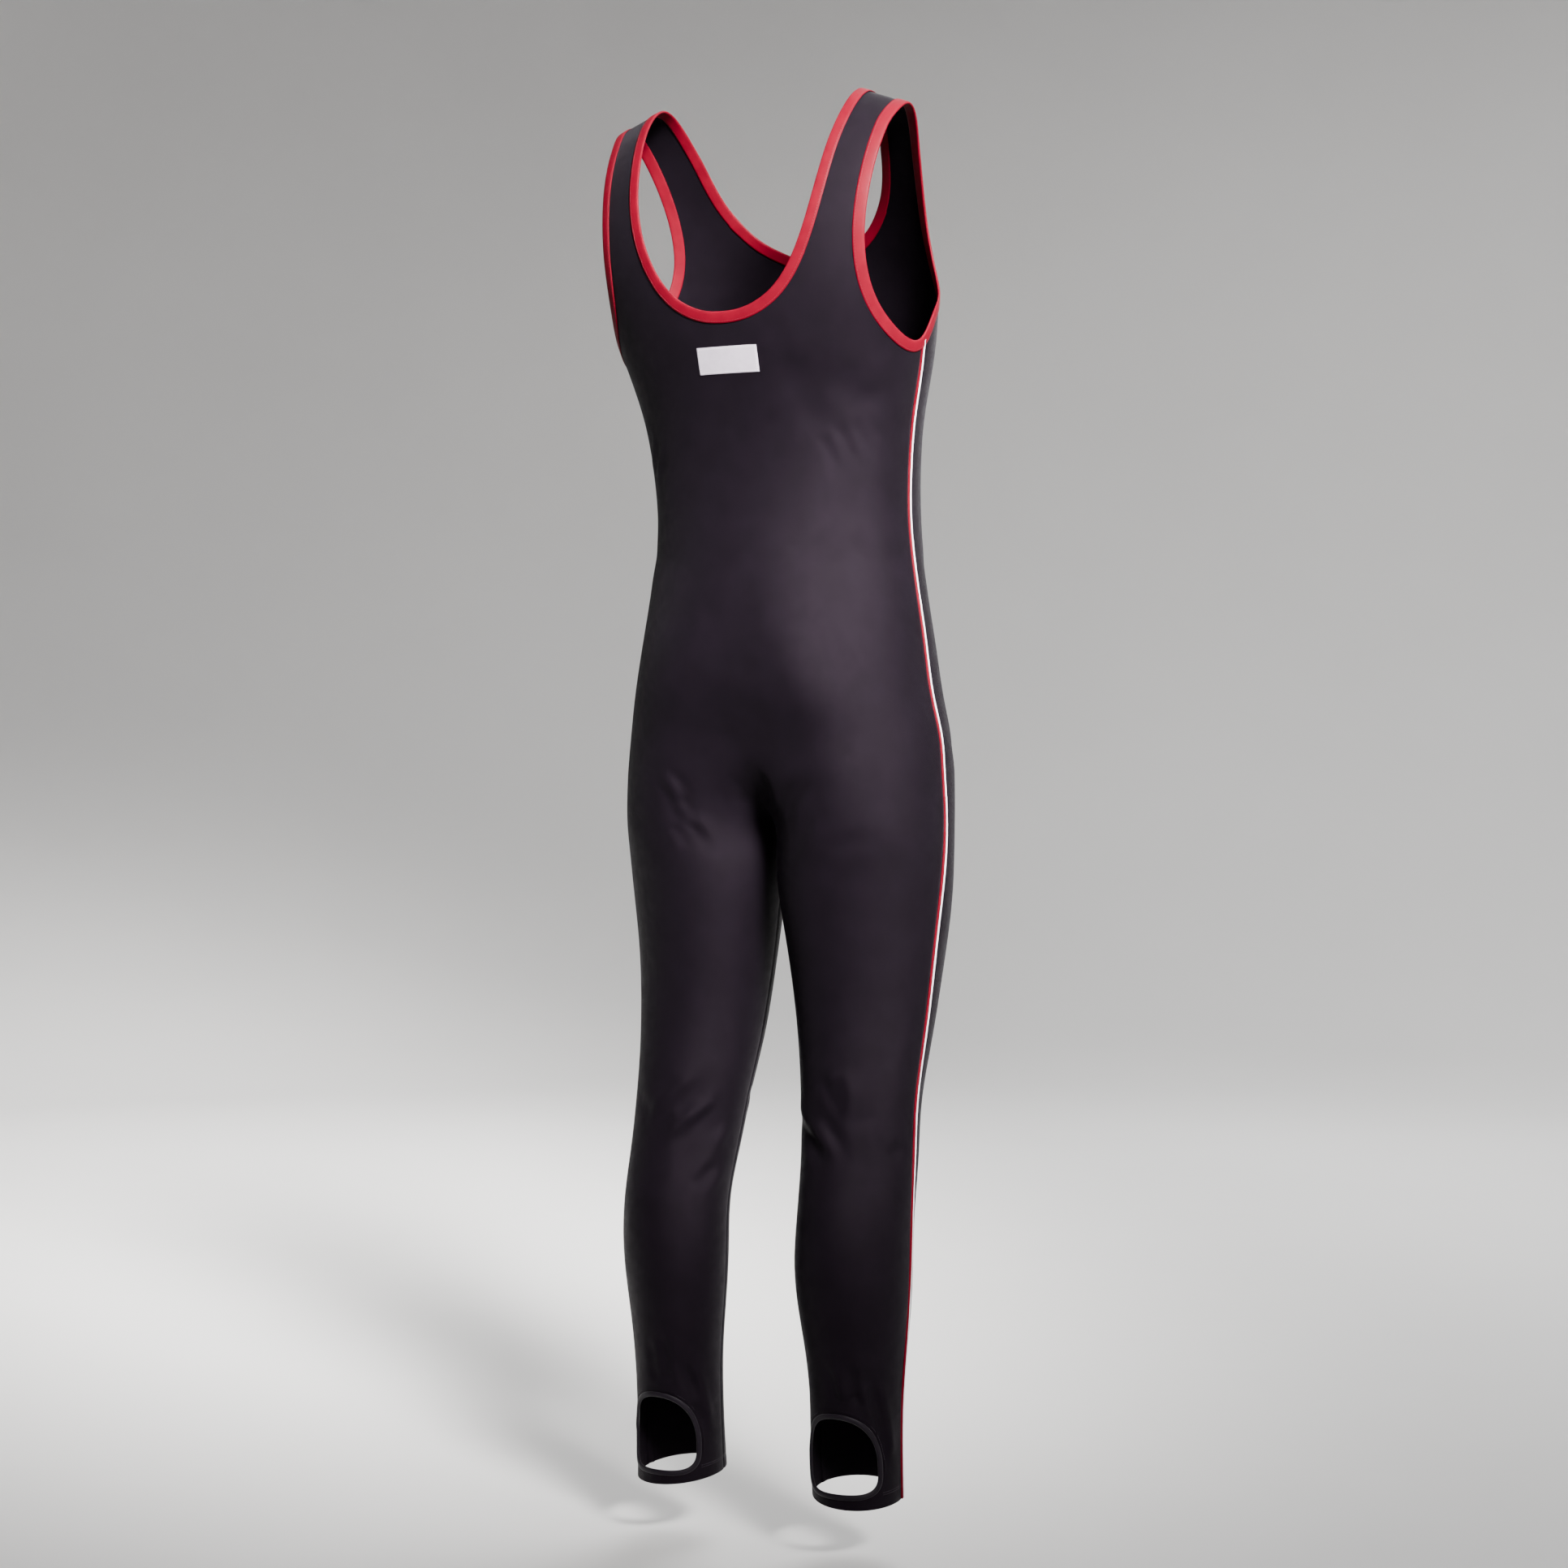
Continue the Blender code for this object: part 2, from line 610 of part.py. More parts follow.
def half_panel(side):
    """The wearer's left half of a panel."""
    sheet = Sheet()
    front = side == "front"
    heights = row_heights()
    rows = []
    for i, height in enumerate(heights):
        opening = side == "back" and 0 < i < HEEL_ROWS
        rows.append(add_row(sheet, height, side, range(2, COLUMNS - 1) if opening else ()))
    if front:
        sheet.grid(rows)
    else:
        legs = rows[:HEEL_ROWS + 1]
        sheet.grid([row[:2] for row in legs])
        sheet.grid([row[-2:] for row in legs])
        sheet.grid(rows[HEEL_ROWS:])
        add_heel(sheet, rows, heights)
    neck, arm = neck_stations(side), arm_stations(side)
    bottom = row_places(UNDERARM, side)
    corner = neck[NECK_COLUMNS][1], arm[ARM_COLUMNS][1]
    top = [ring for _, ring in neck[:NECK_COLUMNS + 1]]
    top += between(corner[0], corner[1], STRAP_COLUMNS)
    top += [ring for _, ring in arm[ARM_COLUMNS::-1]]
    yoke_rows = [rows[-1]]
    for i in range(1, YOKE_ROWS[side] + 1):
        share = i / YOKE_ROWS[side]
        places = [
            Place(*(a + (b - a) * share for a, b in zip(low, high)))
            for low, high in zip(bottom, top)]
        row = [sheet.add(centre_knot(places[0].rise, front))]
        yoke_rows.append(row + sheet.add_places(places[1:]))
    sheet.grid(yoke_rows)
    top_row = yoke_rows[-1]
    neck_ring = top_row[:NECK_COLUMNS + 1]
    arm_ring = top_row[:-ARM_COLUMNS - 2:-1]
    strap_rows = [top_row[NECK_COLUMNS:NECK_COLUMNS + STRAP_COLUMNS + 1]]
    for i in range(1, STRAP_ROWS[side] + 1):
        first, second = neck[NECK_COLUMNS + i][1], arm[ARM_COLUMNS + i][1]
        places = [first] + between(first, second, STRAP_COLUMNS) + [second]
        strap_rows.append(sheet.add_places(places))
        neck_ring.append(strap_rows[-1][0])
        arm_ring.append(strap_rows[-1][-1])
    sheet.grid(strap_rows)
    neck_edge = [sheet.add(centre_knot(neck[0][0].rise, front))]
    neck_edge += sheet.add_places([edge for edge, _ in neck[1:]])
    sheet.strip(neck_ring, neck_edge)
    arm_edge = sheet.add_places([edge for edge, _ in arm])
    sheet.strip(arm_edge, arm_ring)
    return sheet


def make_panel(side, material):
    return wall(side + "_panel", half_panel(side).mirrored(), 0.0, -WALL, material)


# ---------------------------------------------------------------- bindings

def fold_profile(edge, ring):
    """Eight points of a binding folded over an edge: outer layer, fold, inner layer."""
    out = edge.point - ring.point
    out -= edge.normal * out.dot(edge.normal)
    out.normalize()
    under = -WALL
    return [
        ring.point + ring.normal * FOLD,
        edge.point + out * FOLD + edge.normal * FOLD,
        edge.point + out * FOLD + edge.normal * (under - FOLD),
        ring.point + ring.normal * (under - FOLD),
        ring.point + ring.normal * (under - SEAM_GAP),
        edge.point + out * SEAM_GAP + edge.normal * (under - SEAM_GAP),
        edge.point + out * SEAM_GAP + edge.normal * SEAM_GAP,
        ring.point + ring.normal * SEAM_GAP]


def fold_over(name, profiles, from_ring, material):
    """A binding swept round a closed loop of profiles.

    from_ring says, span by span, whether the panel below is cut into triangles from the
    ring line to the next edge point; the binding is cut the same way to lie parallel.
    """
    size = len(profiles[0])
    faces = []
    for i, towards_edge in enumerate(from_ring):
        here, there = i * size, (i + 1) % len(profiles) * size
        for j in range(size):
            k = (j + 1) % size
            corners = here + j, here + k, there + k, there + j
            if (j in (2, 6)) == towards_edge and j % 2 == 0:
                corners = corners[1:] + corners[:1]
            a, b, c, d = corners
            faces += [(a, b, c), (a, c, d)]
    return solid(name, [p for profile in profiles for p in profile], faces, material)


def flipped(profiles):
    return [[point * Vector((-1, 1, 1)) for point in profile] for profile in profiles]


def edge_knots(stations):
    return [(knot(edge), knot(ring)) for edge, ring in stations]


def shoulder_knots(station):
    """The station moved onto the shoulder line itself."""
    return tuple(knot(Place(place.angle, rise_at(90.0))) for place in station)


def make_neck_binding(material):
    halves = []
    for side in ("back", "front"):
        stations = neck_stations(side)
        centre = tuple(centre_knot(place.rise, side == "front") for place in stations[0])
        halves.append([centre] + edge_knots(stations[1:-1]))
    knots = halves[0] + [shoulder_knots(neck_stations("back")[-1])] + halves[1][::-1]
    profiles = [fold_profile(edge, ring) for edge, ring in knots]
    profiles += flipped(profiles[-2:0:-1])
    back, front = len(halves[0]), len(halves[1])
    from_ring = [True] * back + [False] * front
    from_ring += [not cut for cut in from_ring[::-1]]
    return fold_over("neck_binding", profiles, from_ring, material)


def make_armhole_binding(hand, material):
    back, front = arm_stations("back"), arm_stations("front")
    knots = edge_knots(back[:-1]) + [shoulder_knots(back[-1])]
    knots += edge_knots(front[:-1])[::-1]
    profiles = [fold_profile(edge, ring) for edge, ring in knots]
    if hand == "right":
        profiles = flipped(profiles)
    from_ring = [False] * (len(back) - 1) + [True] * len(front)
    return fold_over("armhole_binding_" + hand, profiles, from_ring, material)


def make_heel_binding(hand, material):
    edge, ring = heel_rings(heel_loop(row_heights())[1])
    profiles = [fold_profile(knot(a), knot(b)) for a, b in zip(edge, ring)]
    if hand == "right":
        profiles = flipped(profiles)
    return fold_over("heel_binding_" + hand, profiles, [True] * len(profiles), material)


# ---------------------------------------------------------------- side strips and label

def side_strip(name, hand, start, end, rise, material):
    """A strip let into the side seam, from the hem to just below the armhole binding.

    It is made in lengths half a seam gap short of each other, numbered from the hem, so
    that the convex collision hulls of each length follow the leg and don't bridge it.
    """
    back, front = arm_stations("back")[0][1], arm_stations("front")[0][1]
    columns = []
    for across in (start, end):
        share = (across - SEAM_BACK) / (SEAM_FRONT - SEAM_BACK)
        top = stepped(seam_place(back.rise + (front.rise - back.rise) * share, across),
                      0.0, -SEAM_GAP)
        heights = row_heights()
        heights.append((UNDERARM + top.rise) / 2)
        places = [seam_place(height, across) for height in heights]
        places = [Place(p.angle, p.rise + hem_shift(p.angle, p.rise)) for p in places]
        columns.append(places + [top])
    final = len(columns[0]) - 1
    ends = [round(final * i / STRIP_LENGTHS) for i in range(STRIP_LENGTHS + 1)]
    for number, (first, last) in enumerate(zip(ends, ends[1:]), 1):
        sheet = Sheet()
        rows = []
        for column in columns:
            places = column[first:last + 1]
            if first > 0:
                places[0] = stepped(places[0], 0.0, SEAM_GAP / 2)
            if last < final:
                places[-1] = stepped(places[-1], 0.0, -SEAM_GAP / 2)
            rows.append(sheet.add_places(places))
        sheet.strip(*rows)
        if hand == "right":
            flip = Vector((-1, 1, 1))
            sheet.knots = [Knot(k.point * flip, k.normal * flip) for k in sheet.knots]
        wall(f"{name}_{hand}_{number}", sheet, rise, -WALL, material)


def make_stripe(hand, material):
    """The flat strip on the back's side of the seam."""
    far = -SEAM_GAP / 2
    side_strip("side_stripe", hand, far - STRIPE_WIDTH, far, STRIPE_RISE, material)


def make_piping(hand, material):
    """The proud piping on the front's side of the seam."""
    near = SEAM_GAP / 2
    side_strip("side_piping", hand, near, near + PIPING_WIDTH, PIPING_RISE, material)


def make_label(material):
    sheet = Sheet()
    rows = []
    for i in range(LABEL_ROWS + 1):
        low, high = LABEL_CLIMB
        rise = rise_at(low + (high - low) * i / LABEL_ROWS)
        row = [sheet.add(centre_knot(rise, False))]
        half = LABEL_WIDTH / 2
        wide = [half * j / LABEL_COLUMNS for j in range(1, LABEL_COLUMNS + 1)]
        row += sheet.add_places([Place(angle_at(x, rise, False), rise) for x in wide])
        rows.append(row)
    sheet.grid(rows)
    return wall("label", sheet.mirrored(), LABEL_LIFT + LABEL_WALL, LABEL_LIFT, material)


# ---------------------------------------------------------------- materials and build

def material(name, colour, roughness, sheen=0.0):
    made = bpy.data.materials.new(name)
    made.use_nodes = True
    made.diffuse_color = (*colour, 1.0)
    shader = made.node_tree.nodes["Principled BSDF"]
    shader.inputs["Base Color"].default_value = (*colour, 1.0)
    shader.inputs["Roughness"].default_value = roughness
    shader.inputs["Sheen Weight"].default_value = sheen
    return made


def main():
    for leftover in list(bpy.data.objects):
        bpy.data.objects.remove(leftover)
    knit = (0.018, 0.016, 0.021)
    red = (0.62, 0.012, 0.030)
    white = (0.80, 0.77, 0.80)
    make_panel("back", material("back_panel_knit", knit, 0.55, 0.3))
    make_panel("front", material("front_panel_knit", knit, 0.55, 0.3))
    make_neck_binding(material("neck_binding_knit", red, 0.6))
    make_label(material("label_woven", white, 0.5))
    for hand in ("left", "right"):
        make_armhole_binding(hand, material("armhole_binding_knit_" + hand, red, 0.6))
        make_stripe(hand, material("side_stripe_knit_" + hand, red, 0.6))
        make_piping(hand, material("side_piping_knit_" + hand, white, 0.6))
        make_heel_binding(hand, material("heel_binding_knit_" + hand, knit, 0.6))


main()
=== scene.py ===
"""Finish and fine shape of a sleeveless stirrup unitard in black stretch knit.

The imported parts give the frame.  Every piece of cloth is made again on the same form, as
a thin shell with its folds, rolled edges, taped edges, piping and stitching.
"""

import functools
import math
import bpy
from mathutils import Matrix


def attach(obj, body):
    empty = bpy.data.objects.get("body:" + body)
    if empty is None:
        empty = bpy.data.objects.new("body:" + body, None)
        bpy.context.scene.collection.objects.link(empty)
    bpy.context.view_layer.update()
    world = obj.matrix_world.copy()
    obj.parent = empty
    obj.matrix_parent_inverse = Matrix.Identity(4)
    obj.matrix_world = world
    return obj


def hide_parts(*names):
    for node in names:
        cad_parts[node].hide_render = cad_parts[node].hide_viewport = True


bl_info = {
    "name": "Stirrup Unitard",
    "version": (1, 0, 0),
    "blender": (4, 5, 0),
    "location": "View3D > Sidebar > Unitard",
    "description": "Builds a stretch knit unitard with taped edges and piped sides",
    "category": "Object",
}

import bmesh
import bpy
import numpy as np
from bpy.props import FloatProperty, FloatVectorProperty, IntProperty, PointerProperty
from mathutils import Vector

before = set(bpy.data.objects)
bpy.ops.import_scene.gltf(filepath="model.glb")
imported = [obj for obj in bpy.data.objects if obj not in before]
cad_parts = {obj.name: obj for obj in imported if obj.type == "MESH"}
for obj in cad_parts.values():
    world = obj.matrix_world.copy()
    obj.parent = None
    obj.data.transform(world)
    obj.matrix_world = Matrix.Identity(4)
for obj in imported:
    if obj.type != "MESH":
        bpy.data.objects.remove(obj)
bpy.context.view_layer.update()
BODY = "root"

# ---------------------------------------------------------------- the form, in metres

SHOULDER_HEIGHT = 1.453     # hem to the highest line of the shoulders
HOLD_HEIGHT = 1.432         # hem to the middle of a strap, where the origin is
UNDERARM = 1.150            # height where the body starts to arch over to the shoulders
CROTCH = 0.685              # height of the inseam's top
SHOULDER_FALL = 0.37        # slope of the shoulder line
FALL_FROM = 0.085           # half width at which the shoulder line starts to fall
CLIMB_STEP = 0.005          # surface coordinate for each degree of climb to the shoulder

FRONT_FILL = 1.5            # how much sooner the front closes above the crotch
FILL_RISE = 0.04
BRIDGE = 0.016              # cloth bridging the hollow at the centre line
BRIDGE_RISE = 0.08
INSEAM_TURN = 10.0          # degrees the inseam moves forward on its way down
INSEAM_TURN_RISE = 0.30
HEM_MIDDLE, HEM_TILT, HEM_TURN = 0.003, 0.0065, 25.0    # the hem dips at the heel

HEEL_CENTRE = 3.0           # degrees from straight back, the middle of the heel opening
HEEL_HALF_ANGLE = 52.5
HEEL_LOW, HEEL_WIDEST, HEEL_HIGH = 0.0125, 0.040, 0.0895
HEEL_ARCH, HEEL_BASE = 2.2, 3.8     # roundness above and below its widest level
HEEL_TOP_ROW = 0.125

# Horizontal sections of one half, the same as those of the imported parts.
SECTION_COLUMNS = (
    "height", "half_width", "lobe_x", "lobe_y", "gap",
    "back", "front", "seam", "square", "skew")
SECTIONS = (
    (0.000, 0.152, 0.105, -0.013, 0.058, 0.050, 0.048, 101, 0.000, 0.00),   # hem
    (0.050, 0.152, 0.105, -0.010, 0.058, 0.049, 0.047, 103, 0.000, 0.04),
    (0.110, 0.153, 0.106, -0.008, 0.059, 0.050, 0.049, 105, 0.000, 0.07),   # ankle
    (0.170, 0.158, 0.106, -0.005, 0.054, 0.055, 0.054, 106, 0.000, 0.10),
    (0.240, 0.163, 0.106, -0.001, 0.048, 0.061, 0.060, 106, 0.000, 0.10),   # calf
    (0.300, 0.164, 0.106, -0.006, 0.048, 0.061, 0.059, 103, 0.000, 0.08),
    (0.350, 0.163, 0.104, -0.018, 0.044, 0.059, 0.059, 96, 0.000, 0.05),
    (0.405, 0.162, 0.100, -0.029, 0.038, 0.062, 0.062, 92, 0.000, 0.03),    # knee
    (0.460, 0.165, 0.097, -0.041, 0.030, 0.066, 0.067, 90, 0.000, 0.04),
    (0.530, 0.171, 0.096, -0.050, 0.020, 0.073, 0.074, 89, 0.000, 0.10),
    (0.600, 0.178, 0.095, -0.052, 0.010, 0.083, 0.081, 90, 0.000, 0.13),    # thigh
    (0.650, 0.182, 0.094, -0.053, 0.004, 0.091, 0.085, 91, 0.000, 0.10),
    (0.685, 0.183, 0.092, -0.057, 0.000, 0.100, 0.089, 90, 0.000, 0.03),    # crotch
    (0.715, 0.182, 0.089, -0.060, -0.018, 0.106, 0.093, 89, 0.000, 0.00),
    (0.750, 0.180, 0.084, -0.061, -0.070, 0.111, 0.096, 88, 0.000, 0.00),
    (0.780, 0.177, 0.077, -0.062, -0.160, 0.115, 0.098, 88, 0.000, 0.00),
    (0.820, 0.169, 0.063, -0.061, -0.300, 0.125, 0.102, 88, 0.000, 0.00),   # hip
    (0.880, 0.160, 0.038, -0.060, -0.450, 0.128, 0.102, 88, 0.002, 0.00),
    (0.940, 0.151, 0.012, -0.059, -0.500, 0.120, 0.103, 88, 0.008, 0.00),
    (1.000, 0.144, 0.000, -0.058, -0.500, 0.113, 0.103, 88, 0.016, 0.00),   # waist
    (1.060, 0.146, 0.000, -0.053, -0.500, 0.107, 0.098, 88, 0.022, 0.00),
    (1.110, 0.153, 0.000, -0.047, -0.500, 0.108, 0.097, 88, 0.022, 0.00),
    (1.160, 0.166, 0.000, -0.038, -0.500, 0.112, 0.104, 88, 0.022, 0.00),   # underarm
    (1.280, 0.191, 0.000, 0.006, -0.500, 0.099, 0.150, 88, 0.022, 0.00),
    (1.453, 0.196, 0.000, 0.000, -0.500, 0.101, 0.122, 88, 0.022, 0.00),    # shoulder
)

# The neck's edge from the centre to the shoulder line: step, half width, degrees of climb.
NECK_BACK = (
    (0.0, 0.000, 12.0), (0.3, 0.038, 13.5), (0.6, 0.085, 24.0),
    (0.8, 0.107, 46.0), (1.0, 0.116, 90.0))
NECK_FRONT = (
    (0.0, 0.000, 28.0), (0.3, 0.045, 31.0), (0.6, 0.082, 38.0),
    (0.8, 0.104, 53.0), (1.0, 0.116, 90.0))
# The armhole's edge, from the shoulder line down the back and up the front: step, angle
# from straight back, degrees of climb.
ARMHOLE = (
    (-1.0, 57.0, 90.0), (-0.7, 51.5, 49.0), (-0.4, 50.5, 23.0), (-0.18, 61.5, 10.7),
    (0.0, 82.5, 6.7),
    (0.18, 100.0, 13.5), (0.4, 125.5, 24.0), (0.7, 131.5, 60.0), (1.0, 123.0, 90.0))
SQUARE_FROM = 0.85          # step from which an edge turns square to the shoulder line
NECK_LEVEL, ARM_LEVEL = (0.8, 0.8), (0.8, 0.45)     # steps from which edges run level

# ---------------------------------------------------------------- folds of the cloth

# Each fold is a soft trough, with a lower ridge on one side, between two places of the
# cloth given as angle from straight back and height above the hem.  bow bends its
# middle up, and ridge says on which side the cloth stands up, both from -1 to 1.
# Columns: side, from angle, from height, to angle, to height, bow, width mm, depth mm,
# ridge.
FOLDS = (
    # Under the arm and down the side of the back.
    ("right", 41, 1.095, 50, 1.060, 0.15, 7.0, 1.0, 0.6),
    ("right", 48, 1.098, 60, 1.068, 0.12, 7.2, 1.1, 0.6),
    ("right", 34, 1.084, 41, 1.056, 0.20, 6.6, 0.8, 0.6),
    ("right", 53, 1.104, 63, 1.086, 0.10, 6.2, 0.8, 0.6),
    ("right", 16, 1.154, 35, 1.095, 0.15, 18.5, 1.7, 0.3),
    ("right", 27, 1.154, 58, 1.118, -0.15, 19.7, 1.8, 0.3),
    ("left", 44, 1.090, 54, 1.058, 0.15, 6.2, 1.3, 0.8),
    ("left", 52, 1.100, 63, 1.072, 0.10, 5.7, 1.5, 0.8),
    ("left", 38, 1.072, 46, 1.048, 0.20, 5.4, 0.9, 0.7),
    ("left", 22, 1.150, 52, 1.108, -0.10, 19.7, 1.5, 0.3),
    ("left", 124, 1.118, 146, 1.082, -0.15, 9.9, 1.5, 0.5),
    ("left", 118, 1.100, 136, 1.066, -0.10, 7.4, 1.1, 0.6),
    ("right", 126, 1.116, 149, 1.076, -0.15, 10.5, 1.6, 0.5),
    ("right", 116, 1.096, 133, 1.060, -0.12, 7.4, 1.2, 0.6),
    # Across the waist.
    ("left", 20, 0.962, 70, 0.975, 0.05, 14.0, 0.8, 0.3),
    ("right", 26, 0.972, 78, 0.958, -0.05, 14.0, 0.9, 0.3),
    ("left", 112, 0.966, 158, 0.950, 0.06, 13.0, 0.9, 0.3),
    ("right", 108, 0.955, 152, 0.968, -0.06, 13.0, 0.8, 0.3),
    # Under the seat and at the fork.
    ("left", -1, 0.745, -10, 0.726, 0.20, 6.0, 1.2, -0.8),
    ("left", -7, 0.717, -19, 0.698, 0.15, 6.3, 1.4, -0.8),
    ("left", -3, 0.706, -25, 0.671, 0.12, 7.0, 1.1, 0.9),
    ("left", 8, 0.732, -5, 0.708, 0.15, 6.0, 1.1, 0.8),
    ("left", -2, 0.688, -12, 0.670, 0.15, 6.0, 1.1, -0.7),
    ("left", 32, 0.690, 2, 0.676, 0.10, 10.9, 0.8, 0.4),
    ("left", -46, 0.742, -76, 0.718, 0.10, 7.2, 1.5, 0.7),
    ("right", -27, 0.716, -14, 0.735, 0.10, 5.8, 1.4, 0.9),
    ("right", -24, 0.700, -6, 0.734, 0.10, 6.6, 1.5, -0.8),
    ("right", -20, 0.664, -6, 0.697, 0.12, 6.0, 1.2, -0.7),
    ("right", 30, 0.684, 2, 0.672, -0.10, 10.9, 0.8, 0.4),
    ("right", -48, 0.738, -74, 0.714, 0.12, 7.2, 1.4, 0.6),
    ("left", 238, 0.742, 176, 0.790, 0.18, 8.5, 1.5, 0.7),
    ("left", 246, 0.724, 196, 0.752, 0.14, 7.2, 1.4, 0.7),
    ("left", 252, 0.704, 214, 0.716, 0.10, 6.7, 1.2, 0.6),
    ("right", 240, 0.738, 170, 0.782, 0.15, 9.1, 1.5, 0.7),
    ("right", 248, 0.720, 202, 0.744, 0.12, 7.2, 1.3, 0.7),
    ("right", 250, 0.698, 218, 0.708, 0.12, 6.7, 1.1, 0.6),
    ("left", 128, 0.770, 96, 0.795, -0.10, 13.3, 0.8, 0.4),
    ("right", 132, 0.764, 98, 0.790, -0.12, 13.3, 0.8, 0.4),
    # Behind the knees.
    ("left", 4, 0.380, -32, 0.421, -0.10, 7.6, 2.2, 0.9),
    ("left", -17, 0.389, -39, 0.409, -0.08, 6.8, 2.4, -0.7),
    ("left", -18, 0.357, -52, 0.397, -0.12, 8.0, 2.4, 0.9),
    ("left", -22, 0.336, -58, 0.378, -0.10, 8.0, 2.5, -0.8),
    ("left", -26, 0.326, -54, 0.355, -0.08, 7.1, 2.0, 0.8),
    ("left", -45, 0.312, -64, 0.333, -0.06, 7.1, 2.0, -0.7),
    ("left", 42, 0.398, 18, 0.384, 0.12, 10.4, 1.3, 0.5),
    ("right", 1, 0.431, 13, 0.409, 0.12, 7.1, 2.2, 0.7),
    ("right", -14, 0.430, 8, 0.398, 0.12, 7.6, 2.2, 0.9),
    ("right", -14, 0.396, 14, 0.354, 0.10, 8.5, 2.5, -0.8),
    ("right", -62, 0.386, 4, 0.349, 0.10, 8.2, 2.2, 0.9),
    ("right", -31, 0.361, -13, 0.351, 0.10, 6.8, 1.9, -0.7),
    ("right", 59, 0.357, 75, 0.367, -0.10, 7.4, 1.3, 0.7),
    ("right", 38, 0.402, 22, 0.386, 0.10, 8.9, 1.1, 0.5),
    # Over the fronts of the knees.
    ("left", 146, 0.442, 198, 0.450, 0.16, 7.7, 0.8, 0.5),
    ("left", 150, 0.372, 204, 0.366, -0.16, 7.2, 0.9, 0.6),
    ("left", 160, 0.352, 214, 0.346, -0.12, 6.6, 0.8, 0.6),
    ("left", 232, 0.410, 256, 0.398, 0.10, 6.6, 0.8, 0.6),
    ("right", 150, 0.446, 202, 0.440, 0.15, 7.7, 0.8, 0.5),
    ("right", 144, 0.368, 196, 0.374, -0.16, 7.2, 0.9, 0.6),
    ("right", 164, 0.346, 208, 0.352, -0.12, 6.6, 0.7, 0.6),
    ("right", 228, 0.404, 254, 0.414, 0.10, 6.6, 0.8, 0.6),
    # At the ankles and the arches of the heels.
    ("left", -38, 0.118, -62, 0.058, 0.10, 6.0, 1.9, 0.8),
    ("left", -26, 0.130, -48, 0.094, 0.12, 6.5, 1.5, -0.7),
    ("left", -4, 0.152, -14, 0.114, 0.10, 6.5, 1.5, 0.7),
    ("left", 14, 0.148, 6, 0.112, 0.10, 6.0, 1.2, 0.6),
    ("right", 50, 0.116, 68, 0.054, 0.10, 6.0, 1.9, 0.8),
    ("right", 38, 0.136, 56, 0.100, 0.12, 6.5, 1.5, -0.7),
    ("right", -6, 0.142, 4, 0.112, 0.10, 6.0, 1.5, 0.7),
    ("right", 22, 0.144, 34, 0.110, 0.10, 6.0, 1.5, 0.7),
    ("left", -44, 0.081, -59, 0.061, 0.10, 5.4, 1.3, 0.8),
    ("left", 56, 0.074, 67, 0.052, 0.10, 5.7, 1.1, 0.7),
    ("left", -12, 0.118, 8, 0.110, 0.10, 6.8, 1.0, 0.6),
    ("right", 56, 0.072, 67, 0.050, 0.10, 5.7, 1.4, 0.8),
    ("right", -48, 0.078, -58, 0.058, 0.10, 5.7, 1.1, 0.7),
    ("right", 0, 0.114, 10, 0.106, 0.10, 5.7, 1.3, 0.6),
    ("right", 27, 0.115, 35, 0.103, 0.10, 5.7, 1.3, 0.6),
    ("left", 152, 0.098, 206, 0.104, 0.15, 8.1, 1.7, 0.6),
    ("left", 164, 0.076, 218, 0.070, -0.12, 7.4, 1.5, 0.6),
    ("right", 148, 0.102, 202, 0.096, 0.15, 8.1, 1.7, 0.6),
    ("right", 166, 0.072, 214, 0.078, -0.12, 7.4, 1.5, 0.6),
)

# ---------------------------------------------------------------- how the folds lie

# Against the fold's own width and length, where nothing else is said.
FOLD_RUN_ON = 0.22          # how far it fades out past its ends
FOLD_FADE = 0.30            # share of its whole path over which it comes and goes
FOLD_BOW = 0.35             # how far up it bends in its middle where bow is 1
FOLD_REACH = 3.2            # widths from its path within which it moves the cloth
FOLD_LEAN, FOLD_WANDER = 0.25, 2.7      # how far and how fast it wanders off its path
BANK_AT, BANK_WIDTH = 1.55, 1.05        # the ridge beside the trough
FOLD_DEEP = 0.03            # metres in or out of its path, beyond which it moves nothing
WAVE_HEIGHT = 0.00022       # slow waves of the worn cloth

# ---------------------------------------------------------------- how finely it is cut

COLUMNS = 60                # from the centre line to the side seam
NECK_COLUMNS, STRAP_COLUMNS, ARM_COLUMNS = 18, 18, 24
HEEL_ROWS, HEEL_RINGS, HEEL_MARGIN = 30, 22, 6
LEG_ROWS = 125
FORK_ROWS, FORK_TOP, FORK_POWER = 40, 0.86, 1.6     # rows crowd towards the crotch
BODY_ROWS = 64
YOKE_ROWS = {"back": 14, "front": 32}
STRAP_ROWS = {"back": 62, "front": 52}
NECK_CORNER = {"back": 0.50, "front": 0.46}     # step where the strap leaves the yoke
ARM_CORNER = {"back": -0.27, "front": 0.26}
UNDER_TAPE_ROWS = 3
RIM_STEPS = 3
TAPE_STATIONS = 130         # along half of an edge
HEEL_STATIONS, STRIP_STATIONS = 150, 640
SIDE_STATIONS, INSEAM_STATIONS, SHOULDER_STATIONS = 380, 240, 40
HEM_POINTS, ARCH_POINTS = 260, 120      # along each needle line
LABEL_ROWS, LABEL_COLUMNS = 24, 32
LABEL_POINTS = (50, 20)     # along each long and short side of its needle line
PATH_POINTS = 48            # along a fold
LENGTH_SAMPLES = 400        # when measuring a curve's length
KNIT_COLUMNS, KNIT_ROWS = 280, 190      # when measuring lengths round the cloth
KNIT_SPAN = (-2.2, 2 * math.pi - 1.0)   # angles that these lengths cover
PROBE = 1e-4                # radians or metres walked to read a direction
CURVE_PROBE = 1e-3          # steps walked along an edge to read its run
